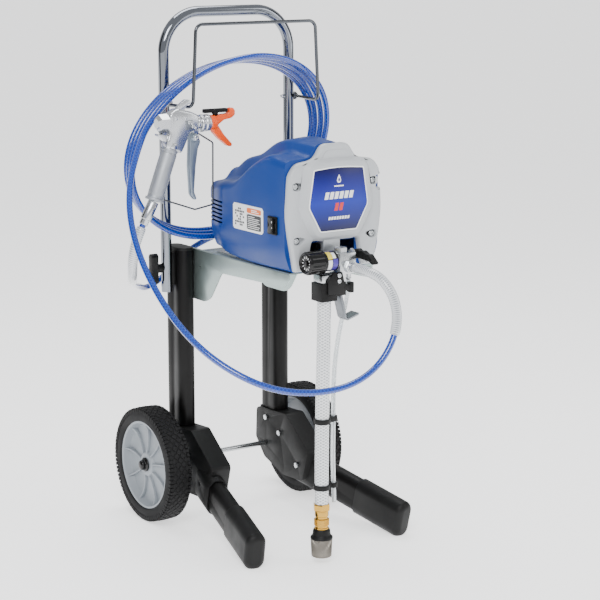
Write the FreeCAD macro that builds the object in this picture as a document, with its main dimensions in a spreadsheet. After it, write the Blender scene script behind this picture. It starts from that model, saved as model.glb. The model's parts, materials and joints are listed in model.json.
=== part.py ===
import FreeCAD, Part
import math
import os
import re
import Sketcher
from FreeCAD import Placement, Rotation, Vector

# Airless paint sprayer on a wheeled stand. Millimetres, +Z up, the front of the machine faces -Y.
# The stand is laid out from the point on the floor under the middle of the axle; frame_x and frame_y
# then move every piece so that the origin lies on the floor under the middle of the machine.

doc = FreeCAD.newDocument("AirlessPaintSprayer")
sheet = doc.addObject("Spreadsheet::Sheet", "Sizes")
aliases = set()
parts = []
home = {}
UP = Vector(0, 0, 1)
TURNED = {"z": Rotation(), "x": Rotation(Vector(0, 1, 0), 90), "y": Rotation(Vector(1, 0, 0), -90)}


def sizes(**named):
    """Add driving dimensions to the sheet, one row each; a formula follows the sizes that it names."""
    for name, number in named.items():
        row = len(aliases) + 1
        sheet.set("A%d" % row, name)
        sheet.set("B%d" % row, str(number))
        sheet.setAlias("B%d" % row, name)
        aliases.add(name)


sizes(frame_x=22.6, frame_y=158.2, fit_gap=0.15, run_gap=0.05)
# oval tube stand
sizes(tube_long=64, tube_wide=32, tube_wall=2, post_x=103.4, post_y=-2, post_foot=118, post_top=504,
      cap_thick=5, cap_plug=12, collar_wall=3.4, elbow_inner="=post_x-tube_wide/2-collar_wall",
      elbow_outer="=post_x+tube_wide/2+4.1", elbow_top=175, skid_x="=post_x-2.9", skid_y=-62, skid_z=91,
      skid_length=268, skid_splay=11.8, skid_drop=12.3, foot_wall=3, foot_cover=85, foot_nose=26, foot_round=12)
# axle and wheels
sizes(tyre_dia=214, tyre_wide=45, axle_dia=9.5, axle_z="=tyre_dia/2", wheel_x="=elbow_outer+43", rim_dia=163,
      rim_wall=4, web_thick=6, hub_dia=34, hub_inner="=elbow_outer+0.6", hub_outer="=wheel_x+22.1",
      axle_half="=hub_outer+2.9", cap_dia=26, cap_deep=6, rib_count=8, rib_thick=3.5)
# bolts
sizes(bolt_dia=6, head_dia=12, head_deep=4)
# shelf bracket
sizes(sheet_thick=2.5, shelf_z=507, shelf_front=-336, shelf_rear=-51, flange_rear=24, lobe_z=413,
      lobe_front=-75, flange_z=478, lobe_round=42)
# handle, clamp knobs and hose rack
sizes(handle_dia=19.5, handle_wall=1.6, handle_x="=post_x+tube_wide/2+handle_dia/2+4.25", handle_y=-5,
      handle_foot=428, handle_top=940, handle_bend=72, knob_z=472, stud_dia=8, stem_dia=16, wing_tall=56, wing_wide=17, wing_thick=13,
      stem_long=11, saddle_low=440, saddle_high=500, rack_dia=6, rack_y=-104, rack_low=770, rack_high=913,
      rack_top_x="=handle_x-8.4", rack_low_x="=handle_x-0.9", rack_bend=14, eye_dia=15, eye_thick=4,
      rack_bolt_dia=5)
# pump unit
sizes(shell_wall=3, cover_y=-336, cover_deep=12, boss_y=-352, cover_half=96, nub_top=721,
      base_thick=3, base_half=78, base_front=-312, base_rear=-90, label_thick=0.6,
      rocker_y=-305, rocker_z=586, rocker_long=25, rocker_tall=29, rocker_deep=9)
# motor, gears and pump
sizes(motor_x=18.3, motor_z=590, motor_dia=80, motor_front=-226, motor_rear=-110, can_wall=3, shaft_dia=8,
      rotor_dia=56, gear_module=1.5, pinion_teeth=12, gear_teeth=60, gear_x=-10,
      gear_z="=motor_z+sqrt(((pinion_teeth+gear_teeth)*gear_module/2)^2-(motor_x-gear_x)^2)",
      gear_front=-256, gear_rear=-238, plate_rear=-228, plate_thick=6, gear_axle_dia=10, crank_radius=9,
      crank_pin_dia=6, yoke_gap=0.5, yoke_thick=6, pump_y=-326, rod_dia=12, rod_foot=523, pump_foot=511,
      pump_top=553, pump_wide=34)
# fluid section
sizes(fluid_y=-370, fluid_z=528, block_left=-18, block_right=14, block_low=506, block_high=541,
      block_front=-387, knob_dia=40, knob_left=-79, knob_right=-43.5, band_dia=33, outlet_x=-1,
      outlet_z=519, outlet_tip=-405, lever_x=30, lever_z=536, lever_long=54,
      suction_x=-39, suction_top=484, suction_dia=24, holder_low=462, hook_wide=24)
# hoses and strainer
sizes(hose_dia=11, sleeve_dia=18, drain_dia=8, strainer_x=-43, suction_end=106, coupling_dia=25,
      coupling_low=61, screen_dia=39, screen_top=45, screen_low=11,
      coil_x=-29, coil_z=691, coil_wide=210, coil_tall=168, coil_wide_in=190, coil_tall_in=145,
      coil_rear=-22, coil_front=-98, coil_lean=12)
# spray gun
sizes(gun_y=-122, gun_z=746, grip_dia=29, grip_top_x=-190.5, grip_top_z=703, grip_foot_x=-221.5,
      grip_foot_z=620.5, trigger_x=-145, trigger_z=721, guard_dia=3, tip_x=-99, tip_dia=8, nut_dia=30)
doc.recompute()


class Sheet:
    """Reads a size back from the sheet by its alias."""

    def __getattr__(self, name):
        return float(sheet.get(name))


s = Sheet()


def formula(text):
    """A formula in aliases, written as an expression on the sheet."""
    return re.sub(r"[a-z]\w*", lambda m: "Sizes." + m.group() if m.group() in aliases else m.group(), str(text))


def place(obj, where):
    home[obj.Name] = where
    for letter, text in zip("xyz", where):
        obj.setExpression("Placement.Base." + letter, formula(text))
    return obj


def primitive(kind, where, along="z", **measures):
    """A Part primitive whose measures and place are bound to the sheet."""
    obj = doc.addObject("Part::" + kind, kind)
    obj.Placement = Placement(Vector(), TURNED[along] if isinstance(along, str) else along)
    for name, text in measures.items():
        obj.setExpression(name, formula(text))
    return place(obj, where)


def rod(where, dia, length, along="z"):
    return primitive("Cylinder", where, along, Radius="(%s)/2" % dia, Height=length)


def block(low, high):
    """A box from its low to its high corner."""
    spans = ["(%s)-(%s)" % (b, a) for a, b in zip(low, high)]
    return primitive("Box", low, "z", Length=spans[0], Width=spans[1], Height=spans[2])


def hexagon(where, flats, length, along="z"):
    obj = primitive("Prism", where, along, Circumradius="(%s)/2/cos(30 deg)" % flats, Height=length)
    obj.Polygon = 6
    return obj


def ball(where, dia):
    return primitive("Sphere", where, "z", Radius="(%s)/2" % dia)


def cut(base, *tools):
    for tool in tools:
        result = doc.addObject("Part::Cut", "Cut")
        result.Base = base
        result.Tool = tool
        base = result
    return base


def fuse(*pieces):
    result = doc.addObject("Part::MultiFuse", "Fuse")
    result.Shapes = list(pieces)
    result.Refine = True
    return result


def group(*pieces):
    """Separate solids kept in one node."""
    result = doc.addObject("Part::Compound", "Group")
    result.Links = list(pieces)
    return result


def feature(shape, name="Shaped"):
    obj = doc.addObject("Part::Feature", name)
    obj.Shape = shape
    return obj


def part(label, obj):
    """Name a finished sub-part and move it into the machine's frame."""
    obj.Label = label
    x, y, z = home.get(obj.Name, ("0", "0", "0"))
    place(obj, ("frame_x + (%s)" % x, "frame_y + (%s)" % y, z))
    parts.append(obj)
    return obj


def new_body(name):
    return doc.addObject("PartDesign::Body", name)


def new_sketch(body, role):
    plane = [f for f in body.Origin.OriginFeatures if f.Role == role][0]
    sketch = body.newObject("Sketcher::SketchObject", "Sketch")
    sketch.AttachmentSupport = [(plane, "")]
    sketch.MapMode = "FlatFace"
    return sketch


def bind(sketch, kind, args, text):
    """A dimension of a sketch, bound to the sheet."""
    index = sketch.addConstraint(Sketcher.Constraint(kind, *args))
    name = "size%d" % index
    sketch.renameConstraint(index, name)
    sketch.setExpression("Constraints." + name, formula(text))


def slot_loop(sketch, long, wide):
    """A slot outline with its long axis along the sketch's vertical: long and wide are (text, number)."""
    half = (long[1] - wide[1]) / 2
    radius = wide[1] / 2
    top = sketch.addGeometry(Part.ArcOfCircle(Part.Circle(Vector(0, half, 0), UP, radius), 0, math.pi))
    low = sketch.addGeometry(Part.ArcOfCircle(Part.Circle(Vector(0, -half, 0), UP, radius), math.pi, 2 * math.pi))
    left = sketch.addGeometry(Part.LineSegment(Vector(-radius, half, 0), Vector(-radius, -half, 0)))
    right = sketch.addGeometry(Part.LineSegment(Vector(radius, -half, 0), Vector(radius, half, 0)))
    for one, end, two, start in ((top, 2, left, 1), (left, 2, low, 1), (low, 2, right, 1), (right, 2, top, 1)):
        sketch.addConstraint(Sketcher.Constraint("Coincident", one, end, two, start))
    for arc, sign in ((top, ""), (low, "-")):
        sketch.addConstraint(Sketcher.Constraint("PointOnObject", arc, 3, -2))
        sketch.addConstraint(Sketcher.Constraint("Horizontal", arc, 1, arc, 3))
        sketch.addConstraint(Sketcher.Constraint("Horizontal", arc, 2, arc, 3))
        bind(sketch, "Radius", (arc, radius), "(%s)/2" % wide[0])
        bind(sketch, "DistanceY", (-1, 1, arc, 3, half if not sign else -half),
             "%s((%s)-(%s))/2" % (sign, long[0], wide[0]))


def update(*objects):
    """Bring these objects up to date, in order, without the rest of the document."""
    for obj in objects:
        obj.recompute()


def pad(body, sketch, length, both=False, back=False):
    feat = body.newObject("PartDesign::Pad", "Pad")
    feat.Profile = sketch
    feat.Midplane = both
    feat.Reversed = back
    feat.setExpression("Length", formula(length))
    update(sketch, feat, body)
    return feat


def round_edges(body, feat, wanted, radius):
    """Fillet the edges of a feature that pass a test on their two ends and middle."""
    picked = []
    for number, edge in enumerate(feat.Shape.Edges):
        if wanted(edge):
            picked.append("Edge%d" % (number + 1))
    fillet = body.newObject("PartDesign::Fillet", "Fillet")
    fillet.Base = (feat, picked)
    fillet.setExpression("Radius", formula(radius))
    update(fillet, body)
    return fillet


def outline(sketch, points):
    """A closed outline of straight sides whose corners are bound to the sheet; a point is (text, text)."""
    count = len(points)
    flat = [Vector(number(a), number(b), 0) for a, b in points]
    for i in range(count):
        sketch.addGeometry(Part.LineSegment(flat[i], flat[(i + 1) % count]))
    for i in range(count):
        sketch.addConstraint(Sketcher.Constraint("Coincident", i, 2, (i + 1) % count, 1))
        bind(sketch, "DistanceX", (-1, 1, i, 1, flat[i].x), points[i][0])
        bind(sketch, "DistanceY", (-1, 1, i, 1, flat[i].y), points[i][1])


def number(text):
    """The value of a formula, worked out by the sheet in a spare cell."""
    sheet.set("D1", "=" + re.sub(r"Sizes\.", "", formula(text)))
    sheet.recompute()
    return float(sheet.get("D1"))


def slot_tube(name, long, wide, length, wall=None):
    """A straight oval tube, or a solid bar where no wall is given, along its own Z."""
    body = new_body(name)
    sketch = new_sketch(body, "XY_Plane")
    slot_loop(sketch, (long, number(long)), (wide, number(wide)))
    if wall:
        inner_long = "(%s)-2*(%s)" % (long, wall)
        inner_wide = "(%s)-2*(%s)" % (wide, wall)
        slot_loop(sketch, (inner_long, number(inner_long)), (inner_wide, number(inner_wide)))
    pad(body, sketch, length)
    return body


def pipe(points, dia, bends, inner=None):
    """A round bar or tube along straight runs joined by arcs; bends holds one radius, or one for each corner."""
    wire = run_wire(points, bends)
    start = wire.Edges[0]
    way = start.tangentAt(start.FirstParameter)
    origin = start.valueAt(start.FirstParameter)

    def swept(size):
        circle = Part.Wire([Part.Circle(origin, way, size / 2).toShape()])
        return wire.makePipeShell([circle], True, False)

    solid = swept(dia)
    if inner:
        solid = solid.cut(swept(inner))
    return solid


def run_wire(points, bends=None):
    """Straight runs joined by tangent arcs. Without bends each arc is as large as its two runs allow."""
    points = [Vector(*p) for p in points]
    edges = []
    last = points[0]
    tightest = None
    for i in range(1, len(points) - 1):
        before = (points[i - 1] - points[i])
        after = (points[i + 1] - points[i])
        turn = math.pi - before.getAngle(after)
        half = math.tan(turn / 2)
        if bends is None:
            back = 0.45 * min(before.Length, after.Length)
        else:
            back = bends * half
        radius = back / half
        tightest = radius if tightest is None else min(tightest, radius)
        before.normalize()
        after.normalize()
        begin = points[i] + before * back
        end = points[i] + after * back
        middle = (before + after).normalize()
        through = points[i] + middle * (radius / math.cos(turn / 2) - radius)
        edges.append(Part.LineSegment(last, begin).toShape())
        edges.append(Part.Arc(begin, through, end).toShape())
        last = end
    edges.append(Part.LineSegment(last, points[-1]).toShape())
    wire = Part.Wire(edges)
    if bends is None:
        print("route: %d points, %.0f mm long, tightest radius %.0f mm" % (len(points), wire.Length, tightest))
    return wire


# --- stand: posts, elbows, skids, feet ---

def skid_frame(side):
    """Where an oval skid starts, and how it is turned: splayed outwards and dropping to the floor."""
    splay = math.radians(s.skid_splay)
    drop = math.radians(s.skid_drop)
    way = Vector(side * math.sin(splay) * math.cos(drop), -math.cos(splay) * math.cos(drop), -math.sin(drop))
    level = Vector(math.cos(splay), side * math.sin(splay), 0)
    return Rotation(level, way.cross(level), way, "ZXY"), way


def skid_bar(name, side, extra, start, length, wall=None):
    """An oval bar or tube on the skid's axis, larger than the skid's section by extra all round."""
    bar = slot_tube(name, "tube_long + 2*(%s)" % extra, "tube_wide + 2*(%s)" % extra, length, wall)
    turned, way = skid_frame(side)
    bar.Placement = Placement(Vector(), turned)
    where = ("%d*skid_x" % side, "skid_y", "skid_z")
    return place(bar, ["%s + (%s)*(%.9f)" % (a, start, b) for a, b in zip(where, way)])


def post_bar(name, side, extra, low, high, wall=None):
    bar = slot_tube(name, "tube_long + 2*(%s)" % extra, "tube_wide + 2*(%s)" % extra,
                    "(%s)-(%s)" % (high, low), wall)
    return place(bar, ("%d*post_x" % side, "post_y", low))


def cross_hole(side, y, z, dia, start="0"):
    """A hole along X on one side of the machine."""
    if side > 0:
        return rod((start, y, z), dia, "220", "x")
    return rod(("-220-(%s)" % start, y, z), dia, "220", "x")


ELBOW_BOLTS = (("post_y", "elbow_top-17"), ("post_y-46", "elbow_top-38"), ("-107", "88"))


def stand(side, word):
    tube = post_bar("Post", side, "0", "post_foot", "post_top", "tube_wall")
    holes = [cross_hole(side, *ELBOW_BOLTS[0], "bolt_dia+2*fit_gap"),
             cross_hole(side, "handle_y", "knob_z", "stud_dia+1", "post_x")]
    inward = "0" if side > 0 else "-post_x"
    holes += [rod((inward, "post_y", z), "bolt_dia+2*fit_gap", "post_x", "x") for z in BRACKET_BOLTS]
    part(word + "_post", cut(tube, *holes))
    plug = post_bar("Plug", side, "-tube_wall-fit_gap", "post_top-cap_plug", "post_top")
    lid = slot_tube("Lid", "tube_long", "tube_wide", "cap_thick")
    feat = lid.Tip
    round_edges(lid, feat, lambda e: e.CenterOfMass.z > s.cap_thick - 0.1, "2.2")
    place(lid, ("%d*post_x" % side, "post_y", "post_top"))
    part(word + "_post_cap", fuse(plug, lid))

    skid = skid_bar("Skid", side, "0", "0", "skid_length", "tube_wall")
    bolt_hole = cross_hole(side, *ELBOW_BOLTS[2], "bolt_dia+2*fit_gap")
    part(word + "_skid", cut(skid, bolt_hole))

    plate = new_body("Elbow")
    sketch = new_sketch(plate, "YZ_Plane")
    outline(sketch, [("post_y+35", "elbow_top-3"), ("-68", "elbow_top+3"), ("-142", "122"), ("-124", "60"),
                     ("-58", "57"), ("6", "78"), ("36", "112")])
    slab = pad(plate, sketch, "elbow_outer-elbow_inner")
    round_edges(plate, slab, lambda e: abs(e.tangentAt(e.FirstParameter).x) > 0.99, "9")
    place(plate, ("elbow_inner" if side > 0 else "-elbow_outer", "0", "0"))
    collar = post_bar("Collar", side, "collar_wall", "elbow_top-45", "elbow_top")
    sleeve = skid_bar("Sleeve", side, "collar_wall", "28", "64")
    whole = fuse(plate, collar, sleeve)
    tools = [post_bar("Socket", side, "fit_gap", "post_foot", "elbow_top+20"),
             skid_bar("Socket", side, "fit_gap", "0", "skid_length"),
             cross_hole(side, "0", "axle_z", "axle_dia+2*fit_gap")]
    tools += [cross_hole(side, y, z, "bolt_dia+2*fit_gap") for y, z in ELBOW_BOLTS]
    part(word + "_elbow", cut(whole, *tools))

    shoe = skid_bar("Shoe", side, "foot_wall", "skid_length-foot_cover", "foot_cover+foot_nose")
    feat = shoe.Tip
    nose = s.foot_cover + s.foot_nose
    round_edges(shoe, feat, lambda e: e.CenterOfMass.z > nose - 0.5, "foot_round")
    floor = block(("-400", "-600", "-100"), ("400", "0", "0"))
    hollow = skid_bar("Hollow", side, "fit_gap", "0", "skid_length+fit_gap")
    part(word + "_foot_cap", cut(shoe, floor, hollow))


BRACKET_BOLTS = ("437", "484")


def frame_bolts():
    """Hexagon bolts along X through each elbow, and through each flange of the bracket into its post."""
    bolts = []
    for side in (-1, 1):
        for y, z in ELBOW_BOLTS:
            shank = rod(("elbow_inner" if side > 0 else "-elbow_outer-4", y, z), "bolt_dia",
                        "elbow_outer-elbow_inner+4", "x")
            head = hexagon(("elbow_inner-head_deep" if side > 0 else "-elbow_inner", y, z), "head_dia-2",
                           "head_deep", "x")
            nut = hexagon(("elbow_outer+0.2" if side > 0 else "-elbow_outer-4.2", y, z), "10", "4", "x")
            if (y, z) == ELBOW_BOLTS[2]:
                nut = rod(("elbow_outer+3" if side > 0 else "-elbow_outer-4", y, z), "bolt_dia", "1", "x")
            bolts.append(fuse(shank, head, nut))
        for z in BRACKET_BOLTS:
            inner = "post_x-tube_wide/2"
            start = inner + "-sheet_thick" if side > 0 else "-(%s)-8" % inner
            shank = rod((start, "post_y", z), "bolt_dia", "8+sheet_thick", "x")
            head_at = inner + "-sheet_thick-head_deep" if side > 0 else "-(%s)+sheet_thick" % inner
            head = hexagon((head_at, "post_y", z), "head_dia", "head_deep", "x")
            bolts.append(fuse(shank, head))
    part("frame_bolts", group(*bolts))


def shelf_bracket():
    """A channel folded from sheet: a flat shelf and two flanges with round lobes that bolt to the posts."""
    half = "post_x-tube_wide/2"
    body = new_body("Bracket")
    sketch = new_sketch(body, "YZ_Plane")
    outline(sketch, [("flange_rear", "shelf_z"), ("flange_rear", "lobe_z"), ("lobe_front", "lobe_z"),
                     ("lobe_front-45", "flange_z-4"), ("shelf_front+14", "flange_z+3"),
                     ("shelf_front", "flange_z+17"), ("shelf_front", "shelf_z")])
    solid = pad(body, sketch, "2*(%s)" % half, both=True)

    def corner(e, y, z, slack=1.0):
        middle = e.CenterOfMass
        return abs(middle.y - y) < slack and abs(middle.z - z) < slack

    fillet = round_edges(body, solid, lambda e: corner(e, s.flange_rear, s.lobe_z), "30")
    fillet = round_edges(body, fillet, lambda e: corner(e, s.lobe_front, s.lobe_z), "lobe_round")
    fillet = round_edges(body, fillet, lambda e: corner(e, s.lobe_front - 45, s.flange_z - 4), "16")
    fillet = round_edges(body, fillet, lambda e: corner(e, s.shelf_front, s.flange_z + 17), "9")
    round_edges(body, fillet, lambda e: abs(abs(e.CenterOfMass.x) - number(half)) < 0.1
                and corner(e, (s.flange_rear + s.shelf_front) / 2, s.shelf_z), "3")
    inside = block(("-(%s)+sheet_thick" % half, "shelf_front-50", "lobe_z-50"),
                   (half + "-sheet_thick", "flange_rear+50", "shelf_z-sheet_thick"))
    rear = block(("-(%s)+sheet_thick" % half, "shelf_rear", "lobe_z-50"),
                 (half + "-sheet_thick", "flange_rear+50", "shelf_z+50"))
    tools = [inside, rear]
    tools += [rod(("-150", "post_y", z), "bolt_dia+2*fit_gap", "300", "x") for z in BRACKET_BOLTS]
    tools += [rod((x, y, "shelf_z-20"), "bolt_dia+2*fit_gap", "40") for x, y in BASE_BOLTS]
    part("shelf_bracket", cut(body, *tools))


BASE_BOLTS = tuple((x, y) for x in ("-60", "60") for y in ("base_front+20", "base_rear-20"))


def axle_and_wheels():
    part("axle", rod(("-axle_half", "0", "axle_z"), "axle_dia", "2*axle_half", "x"))
    caps = []
    for side in (-1, 1):
        low = "axle_half-3.5" if side > 0 else "-axle_half+3.5-cap_deep"
        disc = rod((low, "0", "axle_z"), "cap_dia", "cap_deep", "x")
        bore = rod(("axle_half-6" if side > 0 else "-axle_half-0", "0", "axle_z"), "axle_dia", "6", "x")
        caps.append(cut(disc, bore))
    part("axle_caps", group(*caps))
    for side, word in ((-1, "left"), (1, "right")):
        tyre = feature(tyre_shape(), "Tyre")
        tyre.Placement = Placement(Vector(), TURNED["x"])
        part(word + "_tyre", place(tyre, ("%d*wheel_x" % side, "0", "axle_z")))
        rim = feature(rim_shape(side), "Rim")
        part(word + "_rim", place(rim, ("%d*wheel_x" % side, "0", "axle_z")))


def tyre_shape():
    """A solid tyre with a crowned tread, turned about Z."""
    half = s.tyre_wide / 2
    outer = s.tyre_dia / 2
    inner = s.rim_dia / 2 + 0.05
    shoulder = outer - 7
    points = [(inner, -half + 3), (inner + 8, -half), (shoulder, -half + 1), (outer - 1.5, -half + 8),
              (outer, 0), (outer - 1.5, half - 8), (shoulder, half - 1), (inner + 8, half), (inner, half - 3)]
    spots = [Vector(r, 0, z) for r, z in points]
    edges = [Part.LineSegment(a, b).toShape() for a, b in ((spots[0], spots[1]), (spots[1], spots[2]))]
    edges.append(Part.Arc(spots[2], spots[3] + Vector(0.6, 0, -1), spots[3]).toShape())
    edges.append(Part.Arc(spots[3], spots[4], spots[5]).toShape())
    edges.append(Part.Arc(spots[5], spots[5] * 0.5 + spots[6] * 0.5 + Vector(1, 0, 1.2), spots[6]).toShape())
    edges += [Part.LineSegment(spots[i], spots[(i + 1) % 9]).toShape() for i in (6, 7, 8)]
    return Part.Face(Part.Wire(edges)).revolve(Vector(), UP, 360)


def ring_shape(outer, inner, low, high):
    disc = Part.makeCylinder(outer, high - low, Vector(0, 0, low))
    return disc.cut(Part.makeCylinder(inner, high - low, Vector(0, 0, low)))


def rim_shape(side):
    """A dished rim: band, web set inwards, ribs and a hub that reaches the elbow."""
    half = s.tyre_wide / 2
    radius = s.rim_dia / 2
    band = ring_shape(radius, radius - s.rim_wall, -half + 3.05, half - 3.05)
    web = ring_shape(radius - 1, s.axle_dia / 2 + s.run_gap, -4, -4 + s.web_thick)
    hub = ring_shape(s.hub_dia / 2, s.axle_dia / 2 + s.run_gap, s.hub_inner - s.wheel_x, s.hub_outer - s.wheel_x - 8)
    solid = band.fuse([web, hub])
    count = int(s.rib_count)
    reach = radius - 1 - s.hub_dia / 2 + 1
    for i in range(count):
        rib = Part.makeBox(reach, s.rib_thick, half - 8, Vector(s.hub_dia / 2 - 1, -s.rib_thick / 2, 0))
        rib.rotate(Vector(), UP, 360 / count * i)
        solid = solid.fuse(rib)
    solid = solid.removeSplitter()
    solid.rotate(Vector(), Vector(0, 1, 0), 90 * side)
    return Part.Solid(solid.Solids[0])


# --- handle, clamp knobs, hose rack ---

def handle():
    x, y = s.handle_x, s.handle_y
    foot, top = s.handle_foot, s.handle_top - s.handle_dia / 2
    tube = feature(pipe([(-x, y, foot), (-x, y, top), (x, y, top), (x, y, foot)], s.handle_dia, s.handle_bend,
                        s.handle_dia - 2 * s.handle_wall), "Handle")
    tools = [rod(("-200", "handle_y", "knob_z"), "stud_dia+1", "400", "x"),
             rod(("-200", "handle_y", "rack_low"), "rack_bolt_dia+2*fit_gap", "400", "x")]
    part("handle_tube", cut(tube, *tools))
    saddles = []
    for side in (-1, 1):
        face = "post_x+tube_wide/2"
        high = "handle_x-handle_dia/2+3"
        ends = (face, high) if side > 0 else ("-(%s)" % high, "-(%s)" % face)
        body = block((ends[0], "handle_y-9", "saddle_low"), (ends[1], "handle_y+9", "saddle_high"))
        leg = rod(("%d*handle_x" % side, "handle_y", "handle_foot"), "handle_dia+2*fit_gap", "200")
        stud = cross_hole(side, "handle_y", "knob_z", "stud_dia+2*run_gap")
        saddles.append(cut(body, leg, stud))
    part("handle_saddles", group(*saddles))


def clamp_knob(side, word):
    """A T-shaped hand knob with its stud, turning about X."""
    out = "handle_x+handle_dia/2+0.4"
    stud_in = "post_x+tube_wide/2-tube_wall-6"
    length = "(%s)+4-(%s)" % (out, stud_in)

    def along(low, span):
        return low if side > 0 else "-(%s)-(%s)" % (low, span)

    stud = rod((along(stud_in, length), "handle_y", "knob_z"), "stud_dia", length, "x")
    stem = rod((along(out, "stem_long"), "handle_y", "knob_z"), "stem_dia", "stem_long", "x")
    wing_at = "(%s)+stem_long-1" % out
    bar = block((along(wing_at, "wing_thick"), "handle_y-wing_wide/2+2", "knob_z-wing_tall/2+6"),
                ("(%s)+wing_thick" % along(wing_at, "wing_thick"), "handle_y+wing_wide/2-2",
                 "knob_z+wing_tall/2-6"))
    ends = [rod((along(wing_at, "wing_thick"), "handle_y", "knob_z+(%d)*(wing_tall/2-7)" % k), "14",
                "wing_thick", "x") for k in (-1, 1)]
    part(word + "_clamp_knob", fuse(stud, stem, bar, *ends))


def rack():
    low, high = s.rack_low, s.rack_high
    eye_x = s.handle_x + s.handle_dia / 2 + 1.2 + s.eye_thick / 2
    rear = s.handle_y - s.eye_dia / 2 + 1
    half = [(eye_x, rear, low), (s.rack_low_x, s.rack_y, low), (s.rack_top_x, s.rack_y, high)]
    points = [(-x, y, z) for x, y, z in half] + half[::-1]
    wire = feature(pipe(points, s.rack_dia, s.rack_bend), "Wire")
    eyes = []
    bolts = []
    for side in (-1, 1):
        leg = "handle_x+handle_dia/2"
        start = "(%s)+1.2" % leg
        span = "eye_thick"
        at = start if side > 0 else "-(%s)-%s" % (start, span)
        eye = rod((at, "handle_y", "rack_low"), "eye_dia", span, "x")
        eyes.append(eye)
        shank_in = "handle_x-handle_dia/2-5"
        shank = "(%s)+1.2+eye_thick-(%s)" % (leg, shank_in)
        bolt = rod((shank_in if side > 0 else "-(%s)-(%s)" % (shank_in, shank), "handle_y", "rack_low"),
                   "rack_bolt_dia", shank, "x")
        head_at = "(%s)+1.2+eye_thick" % leg
        head = hexagon((head_at if side > 0 else "-(%s)-4" % head_at, "handle_y", "rack_low"), "9", "4", "x")
        washer_at = leg if side > 0 else "-(%s)-1.2" % leg
        washer = rod((washer_at, "handle_y", "rack_low"), "12", "1.2", "x")
        acorn = ball(("%d*(handle_x-handle_dia/2-4.2)" % side, "handle_y", "rack_low"), "8")
        bolts.append(fuse(bolt, head, washer, acorn))
    whole = fuse(wire, *eyes)
    holes = rod(("-200", "handle_y", "rack_low"), "rack_bolt_dia+2*fit_gap", "400", "x")
    part("hose_rack", cut(whole, holes))
    part("rack_bolts", group(*bolts))


# --- pump unit ---

def shell_section(y, half, low, side_top, middle_top, crown, inset):
    """One cross-section of the housing: flat bottom, leaning sides, rounded shoulders and a raised middle."""
    half -= inset
    foot = half - 12
    low += inset
    side_top -= inset
    middle_top -= inset
    shoulder = 14 - min(inset, 4)
    knee = (half, side_top - shoulder)
    points = [(-foot, low), (foot, low), (half, low + 34), knee, (half - 0.3 * shoulder, side_top - 0.3 * shoulder),
              (half - shoulder, side_top), (crown + 16, side_top + 0.12 * (middle_top - side_top)),
              (crown, middle_top - 3), (crown - 8, middle_top)]
    mirrored = [(-x, z) for x, z in points[:1:-1]]
    flat = [Vector(x, y, z) for x, z in points + mirrored]
    return Part.makePolygon(flat + [flat[0]])


SHELL = ((-76, 62, 531, 622, 646, 40), (-92, 90, 519, 634, 661, 42), (-132, 97, 513, 639, 679, 42),
         (-178, 99, 509, 645, 690, 42), (-232, 100, 507.6, 674, 717, 42), (-284, 100, 507.6, 700, 726, 40),
         (-336, 96, 507.6, 697, 723, 40))


def shell_solid(inset):
    sections = []
    for y, half, low, side_top, middle_top, crown in SHELL:
        if y == SHELL[0][0]:
            y -= inset
        sections.append(shell_section(y, half, low, side_top, middle_top, crown, inset))
    return Part.makeLoft(sections, True, True)


def housing():
    """The blue casing: one moulded shell, open at the front and underneath, with vents and a switch hole."""
    shell = shell_solid(0).cut(shell_solid(s.shell_wall))
    foot = s.shelf_z + s.base_thick
    room = Part.makeBox(2 * s.base_half + 1, s.base_rear - s.cover_y + 1, 24,
                        Vector(-s.base_half - 0.5, s.cover_y, s.shelf_z - 5))
    shell = shell.cut(room)
    slots = []
    for i in range(6):
        z = 569 + 7.2 * i
        slots.append(Part.makeBox(30, 34, 3.2, Vector(-104, -142, z)))
        slots.append(Part.makeBox(30, 34, 3.2, Vector(74, -142, z)))
    shell = shell.cut(slots)
    face = -s.cover_half - 4
    hole = Part.makeBox(20, s.rocker_long, s.rocker_tall,
                        Vector(face - 4, s.rocker_y - s.rocker_long / 2, s.rocker_z - s.rocker_tall / 2))
    inlet = Part.makeCylinder(9.2, 60, Vector(-34, -120, 600), Vector(0, 1, 0))
    shell = shell.cut([hole, inlet])
    part("housing", feature(Part.Solid(max(shell.Solids, key=lambda one: one.Volume)), "Housing"))


COVER = ((-30, 0), (30, 0), (43, 29), (79, 33), (90, 50), (92, 88), (96, 118), (90, 158), (84, 166), (84, 196))


def cover_loop(y, grow, low=None):
    """The front cover's outline at one depth: a raised nub, wide shoulders and legs beside the pump."""
    top = s.nub_top
    right = [(x + (grow if x > 30 else 0), top - drop + (grow if drop < 40 else 0)) for x, drop in COVER]
    foot = top - COVER[-1][1] if low is None else low
    right[-1] = (right[-1][0] - (0 if low is None else 4), foot - grow)
    legs = [(50 - grow, foot - grow), (46 - grow, 556 - grow)]
    points = right[1:] + legs
    mirrored = [(-x, z) for x, z in points[::-1]]
    flat = [Vector(x, y, z) for x, z in points + mirrored]
    return Part.makePolygon(flat + [flat[0]])


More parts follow.
